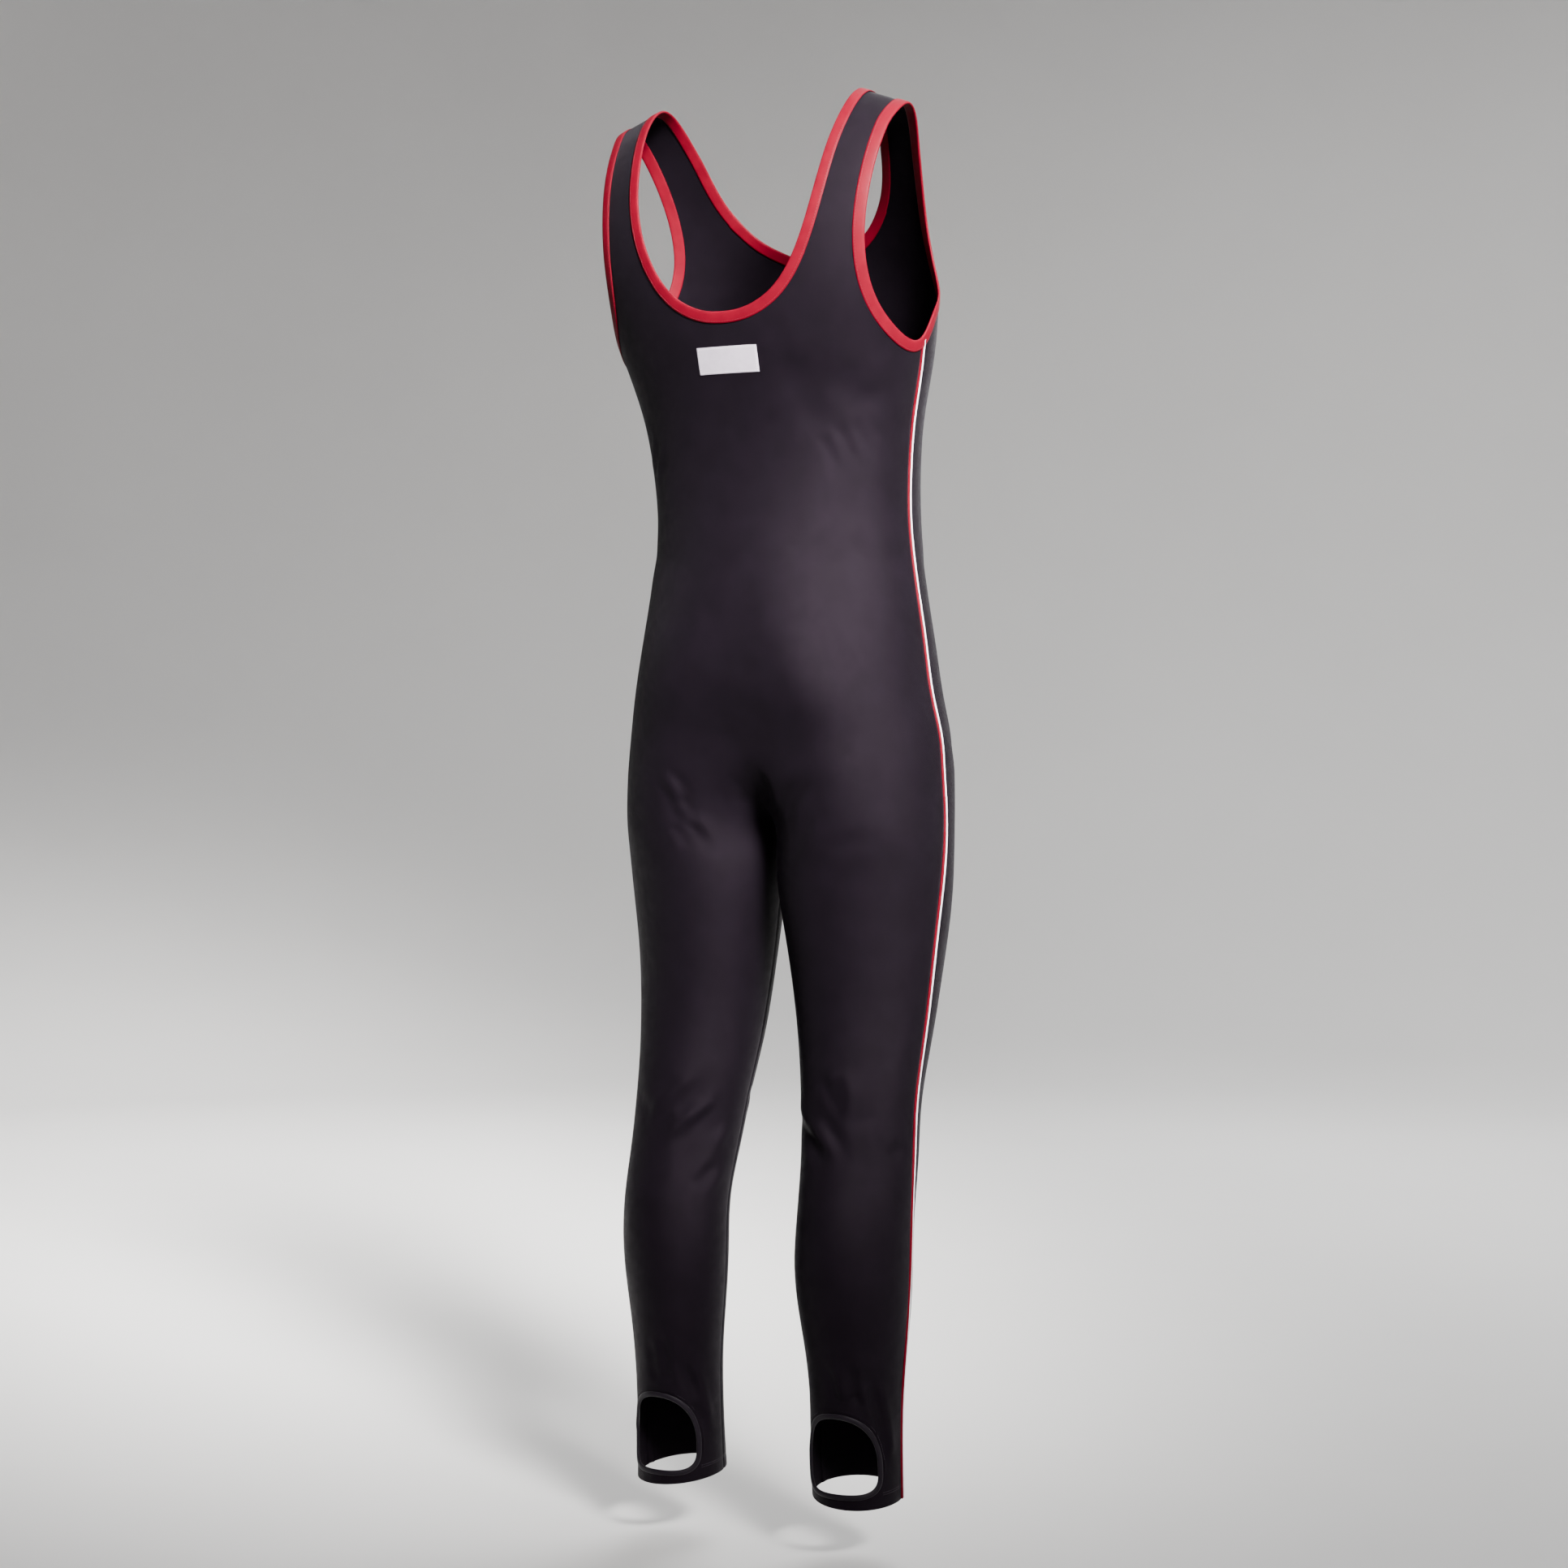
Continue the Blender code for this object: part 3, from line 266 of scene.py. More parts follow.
HEEL_PROBE = 0.02           # radians round the heel opening
HALVINGS = 34               # when closing in on a crossing

# ---------------------------------------------------------------- cloth and trim, in metres

WALL, SEAM_GAP = 0.001, 0.0003
CLOTH_EDGE = SEAM_GAP + WALL    # from a tape's fold to the cloth's edge inside it
EDGE_PROBE = 0.002          # walked from there to read which way is in
END_GAP = 0.0004            # short of the shoulder line, or of the armhole's tape
KNIT_THICK = 0.0007
RIM_BULGE = 0.00012
HEM_DEEP, HEM_EDGE = 0.0162, 0.001      # turned up, and below its top where it thins
HEM_MORE, HEM_FADE = 0.9, 0.003         # share it adds to the thickness, and over what
HEM_NEEDLES = (0.0131, 0.0153)
HEM_GROOVE, HEM_GROOVE_WIDTH = 0.00038, 0.0014
HEM_SEWN = (62.0, 303.0)                # angles between which the needle lines run

TAPE_WIDTH, TAPE_THICK = 0.012, 0.0008
TAPE_CROWN, TAPE_CLEAR = 0.00014, 0.00014   # its bulge, and its height over the cloth
TAPE_PUCKER = 0.00005
TAPE_LIP = 0.0004           # how far the edges of its inner side are set back
TAPE_NEEDLE = 0.0100        # from the fold to the tape's needle line
ROLL_WIDTH, ROLL_THICK = 0.0055, 0.00075
ROLL_CROWN, ROLL_CLEAR, ROLL_PUCKER = 0.0006, 0.0001, 0.00004
ROLL_NEEDLE = ROLL_WIDTH + 0.0028       # from the fold to the line sewn beside the roll
HEEL_DIP, HEEL_DIP_AT, HEEL_DIP_WIDTH = 0.0010, 0.0005, 0.0010      # beside the roll
HEEL_WELT, HEEL_WELT_AT, HEEL_WELT_WIDTH = 0.0005, 0.0027, 0.0009
HEEL_ARCH_FROM, HEEL_ARCH_FADE = -0.45, 0.5     # sine of the turn where both begin
ARCH_MORE = 0.12            # radians that the sewn line runs on past the arch

INSEAM_DIP, INSEAM_DIP_WIDTH = 0.0010, 0.0016   # how far joined edges sink in
SIDE_DIP, SIDE_DIP_WIDTH = 0.0004, 0.0012
INSEAM_END = 0.004          # below the crotch, where the inseam's dip ends
PIPING_WIDTH, STRIPE_WIDTH = 0.0028, 0.0034
PIPING_RISE, STRIPE_RISE = 0.0013, 0.0014   # over the cloth, at each crest
STRIP_SUNK = 0.0001         # how far a strip's sides sink in
STRIP_LENGTHS = 4           # nodes of each side strip
# From the side seam to each panel's edge, positive towards the front.
SEAM_EDGE = {
    "back": -(SEAM_GAP / 2 + STRIPE_WIDTH + SEAM_GAP),
    "front": SEAM_GAP / 2 + PIPING_WIDTH + SEAM_GAP}

LABEL_HALF_WIDTH, LABEL_CLIMB = 0.0345, (0.4, 5.4)
LABEL_THICK, LABEL_LIFT = 0.0005, 0.00068
LABEL_HEM, LABEL_HEM_AT, LABEL_HEM_WIDTH = 0.00018, 0.0025, 0.0022
LABEL_NEEDLE = (0.0018, 0.30)   # in from its edge: metres across, degrees of climb

SIDE_ALLOWANCE, ALLOWANCE = 0.0052, 0.0032      # half widths inside the seams
ALLOWANCE_FROM = 0.0006     # from the hem to the allowances' lower ends
# From their other ends to the armhole's tape, the crotch, and the tapes on the shoulder.
SIDE_SHORT, INSEAM_SHORT, SHOULDER_SHORT = 0.002, 0.006, 0.001
# An allowance from one edge to the other and back: share of its half width, depth.
ALLOWANCE_PROFILE = (
    (-1.0, -0.0006), (-0.93, -0.0002), (0.0, -0.00012), (0.93, -0.0002),
    (1.0, -0.0006), (0.93, -0.0010), (0.0, -0.0012), (-0.93, -0.0010))

TAPE_THREAD, FINE_THREAD = (0.00050, 0.00036), (0.00045, 0.00034)   # width and height
FINE_STITCH = 0.85          # spacing and length of the finer stitches, against the tapes'
TAPE_THREAD_LIFT, HEM_THREAD_LIFT, ARCH_THREAD_LIFT = 0.00006, 0.00004, 0.00005
LABEL_THREAD_LIFT = 0.00082

RIB_PITCH, COURSE_PITCH = 0.0011, 0.0008        # of the tapes
WARP_PITCH, WEFT_PITCH = 0.00055, 0.00042       # of the label

# Shares of the knit's or the red's own colour; the wrong side's is partly painted shade, the
# heel tape's and black thread's are painted highlights.
WRONG_SIDE_PAINTED_SHADE, HEEL_TAPE_PAINTED_HIGHLIGHT, BLACK_THREAD_PAINTED_HIGHLIGHT, RED_THREAD_SHADE = 0.8, 2.0, 7.0, 0.8

CAMERA_SPOT, CAMERA_LENS = (-1.479, 2.684, -0.642), 67.64
CAMERA_TILT, CAMERA_TURN = 88.94, 208.453       # degrees
FLOOR_HEIGHT, FLOOR_RADIUS, FLOOR_BEND = -1.500, 4.0, 2.2
FLOOR_RINGS, WALL_RINGS = (1.2, 2.6), (3.4, 5.2)    # radii on the floor, heights on the wall
FLOOR_TURNS = 96
SKY_COLOUR, SKY_STRENGTH = (0.93, 0.94, 0.96, 1.0), 0.21
# Each light: place, spot it faces, size, share of the set power, colour, spread.
LIGHTS = {
    "key_light": ((-2.2, 1.75, 1.2), (0.0, 0.0, -0.26), 1.4, 0.74, (1, 0.985, 0.97), 25),
    "fill_light": ((1.7, 2.9, 0.3), (0.0, 0.0, -0.36), 2.4, 0.04, (0.96, 0.98, 1.0), 180),
    "front_light": ((0.6, -3.2, 1.0), (0.0, 0.0, -0.65), 2.4, 0.7, (1, 1, 1), 180),
    "floor_light": ((0.0, -2.6, 3.2), (0.0, -3.2, -1.5), 3.0, 1.5, (1, 1, 1), 120),
}
MIRROR = np.array((-1.0, 1.0, 1.0))


# ---------------------------------------------------------------- smooth curves

def spline(xs, ys):
    """Natural cubic spline through the points, held flat beyond its ends."""
    xs = np.array(xs, float)
    ys = np.array(ys, float)
    last = len(xs) - 1
    steps = np.diff(xs)
    matrix = np.eye(last + 1)
    right = np.zeros(last + 1)
    for i in range(1, last):
        matrix[i, i - 1:i + 2] = steps[i - 1], 2 * (steps[i - 1] + steps[i]), steps[i]
        right[i] = 6 * ((ys[i + 1] - ys[i]) / steps[i] - (ys[i] - ys[i - 1]) / steps[i - 1])
    bends = np.linalg.solve(matrix, right)

    def value(x):
        x = np.clip(x, xs[0], xs[-1])
        i = np.clip(np.searchsorted(xs, x, "right") - 1, 0, last - 1)
        step, below, above = steps[i], xs[i + 1] - x, x - xs[i]
        curve = (bends[i] * below ** 3 + bends[i + 1] * above ** 3) / (6 * step)
        low = (ys[i] / step - bends[i] * step / 6) * below
        high = (ys[i + 1] / step - bends[i + 1] * step / 6) * above
        return curve + low + high

    return value


def ease(t):
    """Smooth step from 0 to 1."""
    t = np.clip(t, 0.0, 1.0)
    return t * t * (3 - 2 * t)


def bell(away, width):
    """1 at no distance, fading out over this width on both sides."""
    return np.exp(-(away / width) ** 2)


def unit(vectors):
    """The same directions, one long."""
    return vectors / np.maximum(np.linalg.norm(vectors, axis=-1, keepdims=True), 1e-12)


SECTION = {
    name: spline([row[0] for row in SECTIONS], [row[i] for row in SECTIONS])
    for i, name in enumerate(SECTION_COLUMNS)}


def mirrored_spline(rows, column, sign):
    """Spline over steps -1 to 1 of a table given from 0 to 1."""
    steps = [-row[0] for row in rows[:0:-1]] + [row[0] for row in rows]
    values = [sign * row[column] for row in rows[:0:-1]] + [row[column] for row in rows]
    return spline(steps, values)


# ---------------------------------------------------------------- the garment's surface
# A place is a pair: the angle from straight back, and the rise along the cloth.

def place(angle, rise):
    """Places from angles and rises, either of which may be a single number."""
    return np.stack(np.broadcast_arrays(angle, rise), -1).astype(float)


def level(rise):
    """Height above the hem, and the climb in radians, at each rise."""
    climb = np.radians(np.maximum(rise - UNDERARM, 0.0) / CLIMB_STEP)
    arch = UNDERARM + (SHOULDER_HEIGHT - UNDERARM) * np.sin(climb)
    return np.where(rise <= UNDERARM, rise, arch), climb


def rise_at(climb_degrees):
    """Rise at each climb above the underarm, up to the shoulder line."""
    return UNDERARM + CLIMB_STEP * np.minimum(climb_degrees, 90.0)


RIDGE = float(rise_at(90.0))


def lobe(height, front):
    """Centre and inner half width of the lobe, wider in front above the crotch."""
    fill = FRONT_FILL * ease((height - CROTCH) / FILL_RISE)
    gap = SECTION["gap"](height) * np.where(front, 1 + fill, 1.0)
    lobe_x = SECTION["lobe_x"](height)
    return lobe_x, lobe_x - gap


def inner_angle(height, front):
    """Where a half section starts: on the centre line, or at the inseam below it."""
    turn = 90 + INSEAM_TURN * ease((CROTCH - height) / INSEAM_TURN_RISE)
    below = np.radians(360 - turn if front else -turn)
    lobe_x, inner = lobe(height, front)
    cut = np.arcsin(np.minimum(1.0, lobe_x / inner))
    return np.where(height <= CROTCH, below, np.pi + cut if front else -cut)


def surface(places):
    """Points of the cloth's outer face on the wearer's left half."""
    angle, rise = places[..., 0], places[..., 1]
    height, climb = level(rise)
    sine, cosine = np.sin(angle), np.cos(angle)
    front = cosine < 0
    lobe_x, inner = lobe(height, front)
    lobe_y = SECTION["lobe_y"](height)
    depth = np.where(front, SECTION["front"](height), SECTION["back"](height))
    depth = depth * np.cos(climb)
    square = SECTION["square"](height)
    across = (sine + square * np.sin(3 * angle)) / (1 - square)
    along = (cosine - square * np.cos(3 * angle)) / (1 - square)
    outer = sine >= 0
    reach_out = (SECTION["half_width"](height) - lobe_x) * across
    x = lobe_x + np.where(outer, reach_out, inner * sine)
    bridged = np.hypot(x, BRIDGE * ease((height - CROTCH) / BRIDGE_RISE))
    reach = (lobe_x - bridged) / inner
    arch = np.copysign(np.sqrt(np.maximum(0.0, 1 - reach ** 2)), cosine)
    inside = np.where(height <= CROTCH, cosine, arch)
    y = lobe_y + depth * np.where(outer, along, inside)
    x = x - SECTION["skew"](height) * (y - lobe_y)
    share = np.maximum(0.0, height - UNDERARM) / (SHOULDER_HEIGHT - UNDERARM)
    fall = SHOULDER_FALL * np.maximum(0.0, np.abs(x) - FALL_FROM) * share ** 2
    return np.stack((x, y, height - fall - HOLD_HEIGHT), -1)


def directions(places):
    """Surface speed along the angle and along the rise."""
    turn, lift = np.array((PROBE, 0.0)), np.array((0.0, PROBE))
    by_angle = surface(places + turn) - surface(places - turn)
    by_rise = surface(places + lift) - surface(places - lift)
    return by_angle / (2 * PROBE), by_rise / (2 * PROBE)


def normals(places):
    """Directions that point straight out of the cloth."""
    by_angle, by_rise = directions(places)
    return unit(np.cross(by_rise, by_angle))


def skin(places):
    """Points of the cloth's outer face, and its normals there."""
    return surface(places), normals(places)


def centre_line(rise, front):
    """Points and normals on the centre line, all exactly in the centre plane."""
    def at(r):
        points = surface(place(inner_angle(level(r)[0], front), r))
        points[..., 0] = 0.0
        return points

    run = at(rise + PROBE) - at(rise - PROBE)
    sign = 1.0 if front else -1.0
    out = np.stack((0 * rise, -sign * run[..., 2], sign * run[..., 1]), -1)
    return at(rise), unit(out)


def stepped(places, across, up=0.0):
    """Places reached by walking some metres round and some metres up."""
    by_angle, by_rise = directions(places)
    turn = across / np.linalg.norm(by_angle, axis=-1)
    lift = up / np.linalg.norm(by_rise, axis=-1)
    return places + np.stack(np.broadcast_arrays(turn, lift), -1)


def angle_at(half_width, rise, front):
    """Angles at which the surface is so far from the centre plane."""
    half_width, rise = np.broadcast_arrays(half_width, rise)
    low = np.zeros(half_width.shape)
    high = low + np.pi / 2
    for _ in range(HALVINGS):
        middle = (low + high) / 2
        short = surface(place(middle, rise))[..., 0] < half_width
        low = np.where(short, middle, low)
        high = np.where(short, high, middle)
    return np.pi - low if front else low


def seam_angle(rise):
    """Angle of the side seam at each rise."""
    return np.radians(SECTION["seam"](level(rise)[0]))


def seam_place(rise, across):
    """Places beside the side seam, positive towards the front."""
    return stepped(place(seam_angle(rise), rise), across)


# ---------------------------------------------------------------- edges

def levelled(value, back_from, front_from):
    """The same curve of steps -1 to 1, eased to run level into both of its ends."""
    slopes = [(value(end) - value(end * (1 - CURVE_PROBE))) / CURVE_PROBE
              for end in (-1.0, 1.0)]

    def eased(step):
        size = np.abs(step)
        start = np.where(step < 0, back_from, front_from)
        slope = np.where(step < 0, slopes[0], slopes[1])
        return value(step) + slope * (1 - size) * ease((size - start) / (1 - start))

    return eased


def neck_curve(side):
    """The neck's edge, behind or in front, as places for steps from -1 to 1."""
    rows = NECK_FRONT if side == "front" else NECK_BACK
    width = levelled(mirrored_spline(rows, 1, -1), *NECK_LEVEL)
    climb = mirrored_spline(rows, 2, 1)

    def at(step):
        rise = rise_at(climb(step))
        sign = np.where(width(step) < 0, -1.0, 1.0)
        found = angle_at(np.abs(width(step)), rise, side == "front")
        middle = np.pi if side == "front" else 0.0
        return place(middle + sign * (found - middle), rise)

    return at


def arm_curve():
    """The armhole's edge as places for steps from -1 to 1."""
    steps = [row[0] for row in ARMHOLE]
    angle = levelled(spline(steps, [row[1] for row in ARMHOLE]), *ARM_LEVEL)
    climb = spline(steps, [row[2] for row in ARMHOLE])
    return lambda step: place(np.radians(angle(step)), rise_at(climb(step)))


def heel_edge(turn):
    """Places on the edge of the heel opening."""
    sine, cosine = np.sin(turn), np.cos(turn)
    power = np.where(sine > 0, HEEL_ARCH, HEEL_BASE)
    tall = np.where(sine > 0, HEEL_HIGH - HEEL_WIDEST, HEEL_WIDEST - HEEL_LOW)
    size = (np.abs(cosine) ** power + np.abs(sine) ** power) ** (1 / power)
    angle = np.radians(HEEL_CENTRE + HEEL_HALF_ANGLE * cosine / size)
    return place(angle, HEEL_WIDEST + tall * sine / size)


def sideways(before, here, after):
    """Change of place for a metre square to the line, to its left seen from outside."""
    by_angle, by_rise = directions(here)
    run = surface(after) - surface(before)
    side = unit(np.cross(unit(np.cross(by_rise, by_angle)), run))
    basis = np.stack((by_angle, by_rise), -1)
    flipped = np.swapaxes(basis, -1, -2)
    return np.linalg.solve(flipped @ basis, flipped @ side[..., None])[..., 0]


def heel_place(turn, out):
    """Places so many metres out from the edge of the heel opening."""
    before, after = heel_edge(turn - HEEL_PROBE), heel_edge(turn + HEEL_PROBE)
    here = heel_edge(turn)
    return here + sideways(before, here, after) * out


def spread(curve, start, end, count):
    """Steps from start to end of a curve that cut it into equal lengths."""
    fine = np.linspace(start, end, LENGTH_SAMPLES + 1)
    gaps = np.linalg.norm(np.diff(surface(curve(fine)), axis=0), axis=1)
    lengths = np.concatenate(((0.0,), np.cumsum(gaps)))
    return np.interp(np.linspace(0.0, lengths[-1], count + 1), lengths, fine)


def arm_step_at_seam(across):
    """The step at which the armhole's edge meets a line beside the side seam."""
    curve = arm_curve()
    low, high = ARM_CORNER["back"], ARM_CORNER["front"]
    for _ in range(HALVINGS):
        middle = (low + high) / 2
        here = curve(np.array(middle))
        if here[0] < seam_place(here[1], across)[0]:
            low = middle
        else:
            high = middle
    return low


class Edge:
    """An edge of the cloth that a tape covers, and places measured in from it."""

    def __init__(self, curve, steps, side, ridge, centred):
        here = curve(steps)
        before, after = curve(steps - CURVE_PROBE), curve(steps + CURVE_PROBE)
        inward = sideways(before, here, after) * side
        straight = (stepped(here, 1.0) - here) * ridge
        share = ease((np.abs(steps) - SQUARE_FROM) / (1 - SQUARE_FROM))[..., None]
        self.here = here
        self.inward = inward * (1 - share) + straight * share
        self.centre = (np.abs(steps) < 1e-9) & centred
        self.front = np.cos(here[0, 0]) < 0

    def at(self, distance):
        """Places so far in from the edge."""
        return self.here + self.inward * distance

    def points(self, distance):
        """Points and outward normals so far in from the edge."""
        places = self.at(distance)
        spots, out = skin(places)
        if self.centre.any():
            middle, flat = centre_line(places[:, 1], self.front)
            spots = np.where(self.centre[:, None], middle, spots)
            out = np.where(self.centre[:, None], flat, out)
        return spots, out


def neck_edge(side, steps):
    """The neck's edge at these steps, behind or in front."""
    sign = -1.0 if side == "front" else 1.0
    return Edge(neck_curve(side), steps, sign, sign, True)


def arm_edge(steps):
    """The left armhole's edge at these steps."""
    return Edge(arm_curve(), steps, 1.0, np.sign(steps)[:, None], False)


def neck_steps(side):
    """Steps of a panel's columns and strap rows along the neck."""
    curve, corner = neck_curve(side), NECK_CORNER[side]
    low = spread(curve, 0.0, corner, NECK_COLUMNS)
    return np.concatenate((low, spread(curve, corner, 1.0, STRAP_ROWS[side])[1:]))


def arm_steps(side):
    """Steps of a panel's columns and strap rows along the armhole."""
    curve, corner = arm_curve(), ARM_CORNER[side]
    start = arm_step_at_seam(SEAM_EDGE[side])
    end = 1.0 if side == "front" else -1.0
    low = spread(curve, start, corner, ARM_COLUMNS)
    return np.concatenate((low, spread(curve, corner, end, STRAP_ROWS[side])[1:]))


# ---------------------------------------------------------------- relief of the cloth

@functools.cache
def fold_path(row):
    """Points and outward normals of the line that a fold follows."""
    side, from_angle, from_height, to_angle, to_height, bow = row[:6]
    t = np.linspace(-FOLD_RUN_ON, 1.0 + FOLD_RUN_ON, PATH_POINTS)
    start = np.array((math.radians(from_angle), from_height))
    end = np.array((math.radians(to_angle), to_height))
    places = start + (end - start) * t[:, None]
    ends = surface(np.array((start, end)))
    length = np.linalg.norm(ends[1] - ends[0])
    points, out = skin(stepped(places, 0.0, bow * length * FOLD_BOW * 4 * t * (1 - t)))
    if side == "right":
        points, out = points * MIRROR, out * MIRROR
    return points, out


def fold_relief(points, row):
    """How far one fold moves each point along the cloth's normal, in metres."""
    path, out = fold_path(row)
    width, depth, ridge = row[6] / 1000, row[7] / 1000, row[8]
    moved = np.zeros(len(points))
    reach = FOLD_REACH * width
    low, high = path.min(0) - reach, path.max(0) + reach
    near = ((points > low) & (points < high)).all(1)
    if not near.any():
        return moved
    spots = points[near]
    nearest = np.linalg.norm(spots[:, None] - path[None], axis=2).argmin(1)
    run = unit(np.gradient(path, axis=0))
    away = spots - path[nearest]
    pace = np.linalg.norm(np.diff(path, axis=0), axis=1).mean()
    along = nearest * pace + (away * run[nearest]).sum(1)
    t = along / (pace * (PATH_POINTS - 1))
    across = np.cross(out[nearest], run[nearest])
    s = (away * across).sum(1) / width
    deep = (away * out[nearest]).sum(1)
    window = ease(t / FOLD_FADE) * ease((1 - t) / FOLD_FADE) * (np.abs(deep) < FOLD_DEEP)
    lean = FOLD_LEAN * np.sin(FOLD_WANDER * t + 1.0)
    bank = abs(ridge) * bell(s - lean - math.copysign(BANK_AT, ridge), BANK_WIDTH)
    moved[near] = depth * window * (bank - bell(s - lean, 1.0))
    return moved


def relief(points):
    """Folds and slow waves of the worn cloth."""
    x, y, z = points.T
    # Radians a metre, none a multiple of another, so that the waves never line up.
    slow = np.sin(31 * z + 17 * x + 0.6) * np.sin(23 * y - 13 * z + 1.1)
    slow += 0.6 * np.sin(53 * z - 29 * x + 41 * y)
    height = WAVE_HEIGHT * slow
    strength = bpy.context.scene.unitard.fold_strength
    for row in FOLDS:
        height += strength * fold_relief(points, row)
    return height


def lifted(points, out, height):
    """Points moved out with the cloth's relief, and by a height of their own."""
    return points + out * (relief(points) + height)[:, None]


# ---------------------------------------------------------------- meshes

def length_up_and_round():
    """Grid of lengths round the cloth, measured from straight back, to lay the knit."""
    angles = np.linspace(*KNIT_SPAN, KNIT_COLUMNS)
    rises = np.linspace(0.0, RIDGE, KNIT_ROWS)
    points = surface(place(angles[None, :], rises[:, None]))
    gaps = np.linalg.norm(np.diff(points, axis=1), axis=2)
    lengths = np.concatenate((np.zeros((len(rises), 1)), np.cumsum(gaps, axis=1)), axis=1)
    return angles, rises, lengths


ROUND_ANGLES, ROUND_RISES, ROUND_LENGTHS = length_up_and_round()


def knit_place(places):
    """Where each place lies on the flat knit: metres round from the side seam, and up."""
    def look_up(angle, rise):
        i = (angle - ROUND_ANGLES[0]) / (ROUND_ANGLES[1] - ROUND_ANGLES[0])
        j = rise / (ROUND_RISES[1] - ROUND_RISES[0])
        # Just inside the last cell, so that each place has a next row and column.
        i = np.clip(i, 0, KNIT_COLUMNS - 1.001)
        j = np.clip(j, 0, KNIT_ROWS - 1.001)
        i0, j0 = i.astype(int), j.astype(int)
        u, v = i - i0, j - j0
        low = ROUND_LENGTHS[j0, i0] * (1 - u) + ROUND_LENGTHS[j0, i0 + 1] * u
        high = ROUND_LENGTHS[j0 + 1, i0] * (1 - u) + ROUND_LENGTHS[j0 + 1, i0 + 1] * u
        return low * (1 - v) + high * v

    angle, rise = places.T
    return np.stack((look_up(angle, rise) - look_up(seam_angle(rise), rise), rise), -1)


def put(name, data):
    """A new object in the scene that shows this mesh, light or camera."""
    made = bpy.data.objects.new(name, data)
    bpy.context.scene.collection.objects.link(made)
    return made


def mesh_piece(name, vertices, faces, material, uv):
    """A closed mesh object at the origin with its faces pointing out."""
    mesh = bpy.data.meshes.new(name)
    mesh.from_pydata(vertices.tolist(), [], faces)
    layer = mesh.uv_layers.new(name="Knit")
    corners = np.zeros(len(mesh.loops), dtype=np.int32)
    mesh.loops.foreach_get("vertex_index", corners)
    layer.data.foreach_set("uv", uv[corners].ravel())
    work = bmesh.new()
    work.from_mesh(mesh)
    bmesh.ops.recalc_face_normals(work, faces=work.faces)
    work.to_mesh(mesh)
    work.free()
    mesh.materials.append(material)
    mesh.shade_smooth()
    return put(name, mesh)


def finish_piece(piece, slot, *nodes):
    """Ride on the body and stand for these nodes; the slot is not used."""
    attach(piece, BODY)
    if nodes:
        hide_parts(*nodes)


class Cloth:
    """Places on the wearer's left half of the cloth, and the four-sided faces between."""

    def __init__(self):
        self.places = []
        self.points = []
        self.normals = []
        self.centre = []
        self.faces = []
        self.count = 0

    def add(self, places, points=None, out=None):
        """Adds places; points and normals are given only on the centre line."""
        places = np.atleast_2d(places)
        self.places.append(places)
        self.points.append(surface(places) if points is None else np.atleast_2d(points))
        self.normals.append(normals(places) if out is None else np.atleast_2d(out))
        self.centre.append(np.full(len(places), points is not None))
        self.count += len(places)
        return np.arange(self.count - len(places), self.count)

    def add_row(self, places, front):
        """Adds a row whose first place is on the centre line."""
        middle = self.add(places[:1], *centre_line(places[:1, 1], front))
        return np.concatenate((middle, self.add(places[1:])))

    def fill(self, rows):
        """Faces between each row of places and the next."""
        for low, high in zip(rows, rows[1:]):
            low, high = np.asarray(low), np.asarray(high)
            self.faces.append(np.stack((low[:-1], low[1:], high[1:], high[:-1]), -1))

    def whole(self):
        """Places, points, normals and faces of both halves, joined on the centre line."""
        places, points = np.concatenate(self.places), np.concatenate(self.points)
        out, centre = np.concatenate(self.normals), np.concatenate(self.centre)
        faces = np.concatenate(self.faces)
        partner = np.arange(len(points))
        off = ~centre
        partner[off] = len(points) + np.arange(off.sum())
        points = np.concatenate((points, points[off] * MIRROR))
        out = np.concatenate((out, out[off] * MIRROR))
        places = np.concatenate((places, places[off]))
        return places, points, out, np.concatenate((faces, partner[faces][:, ::-1]))


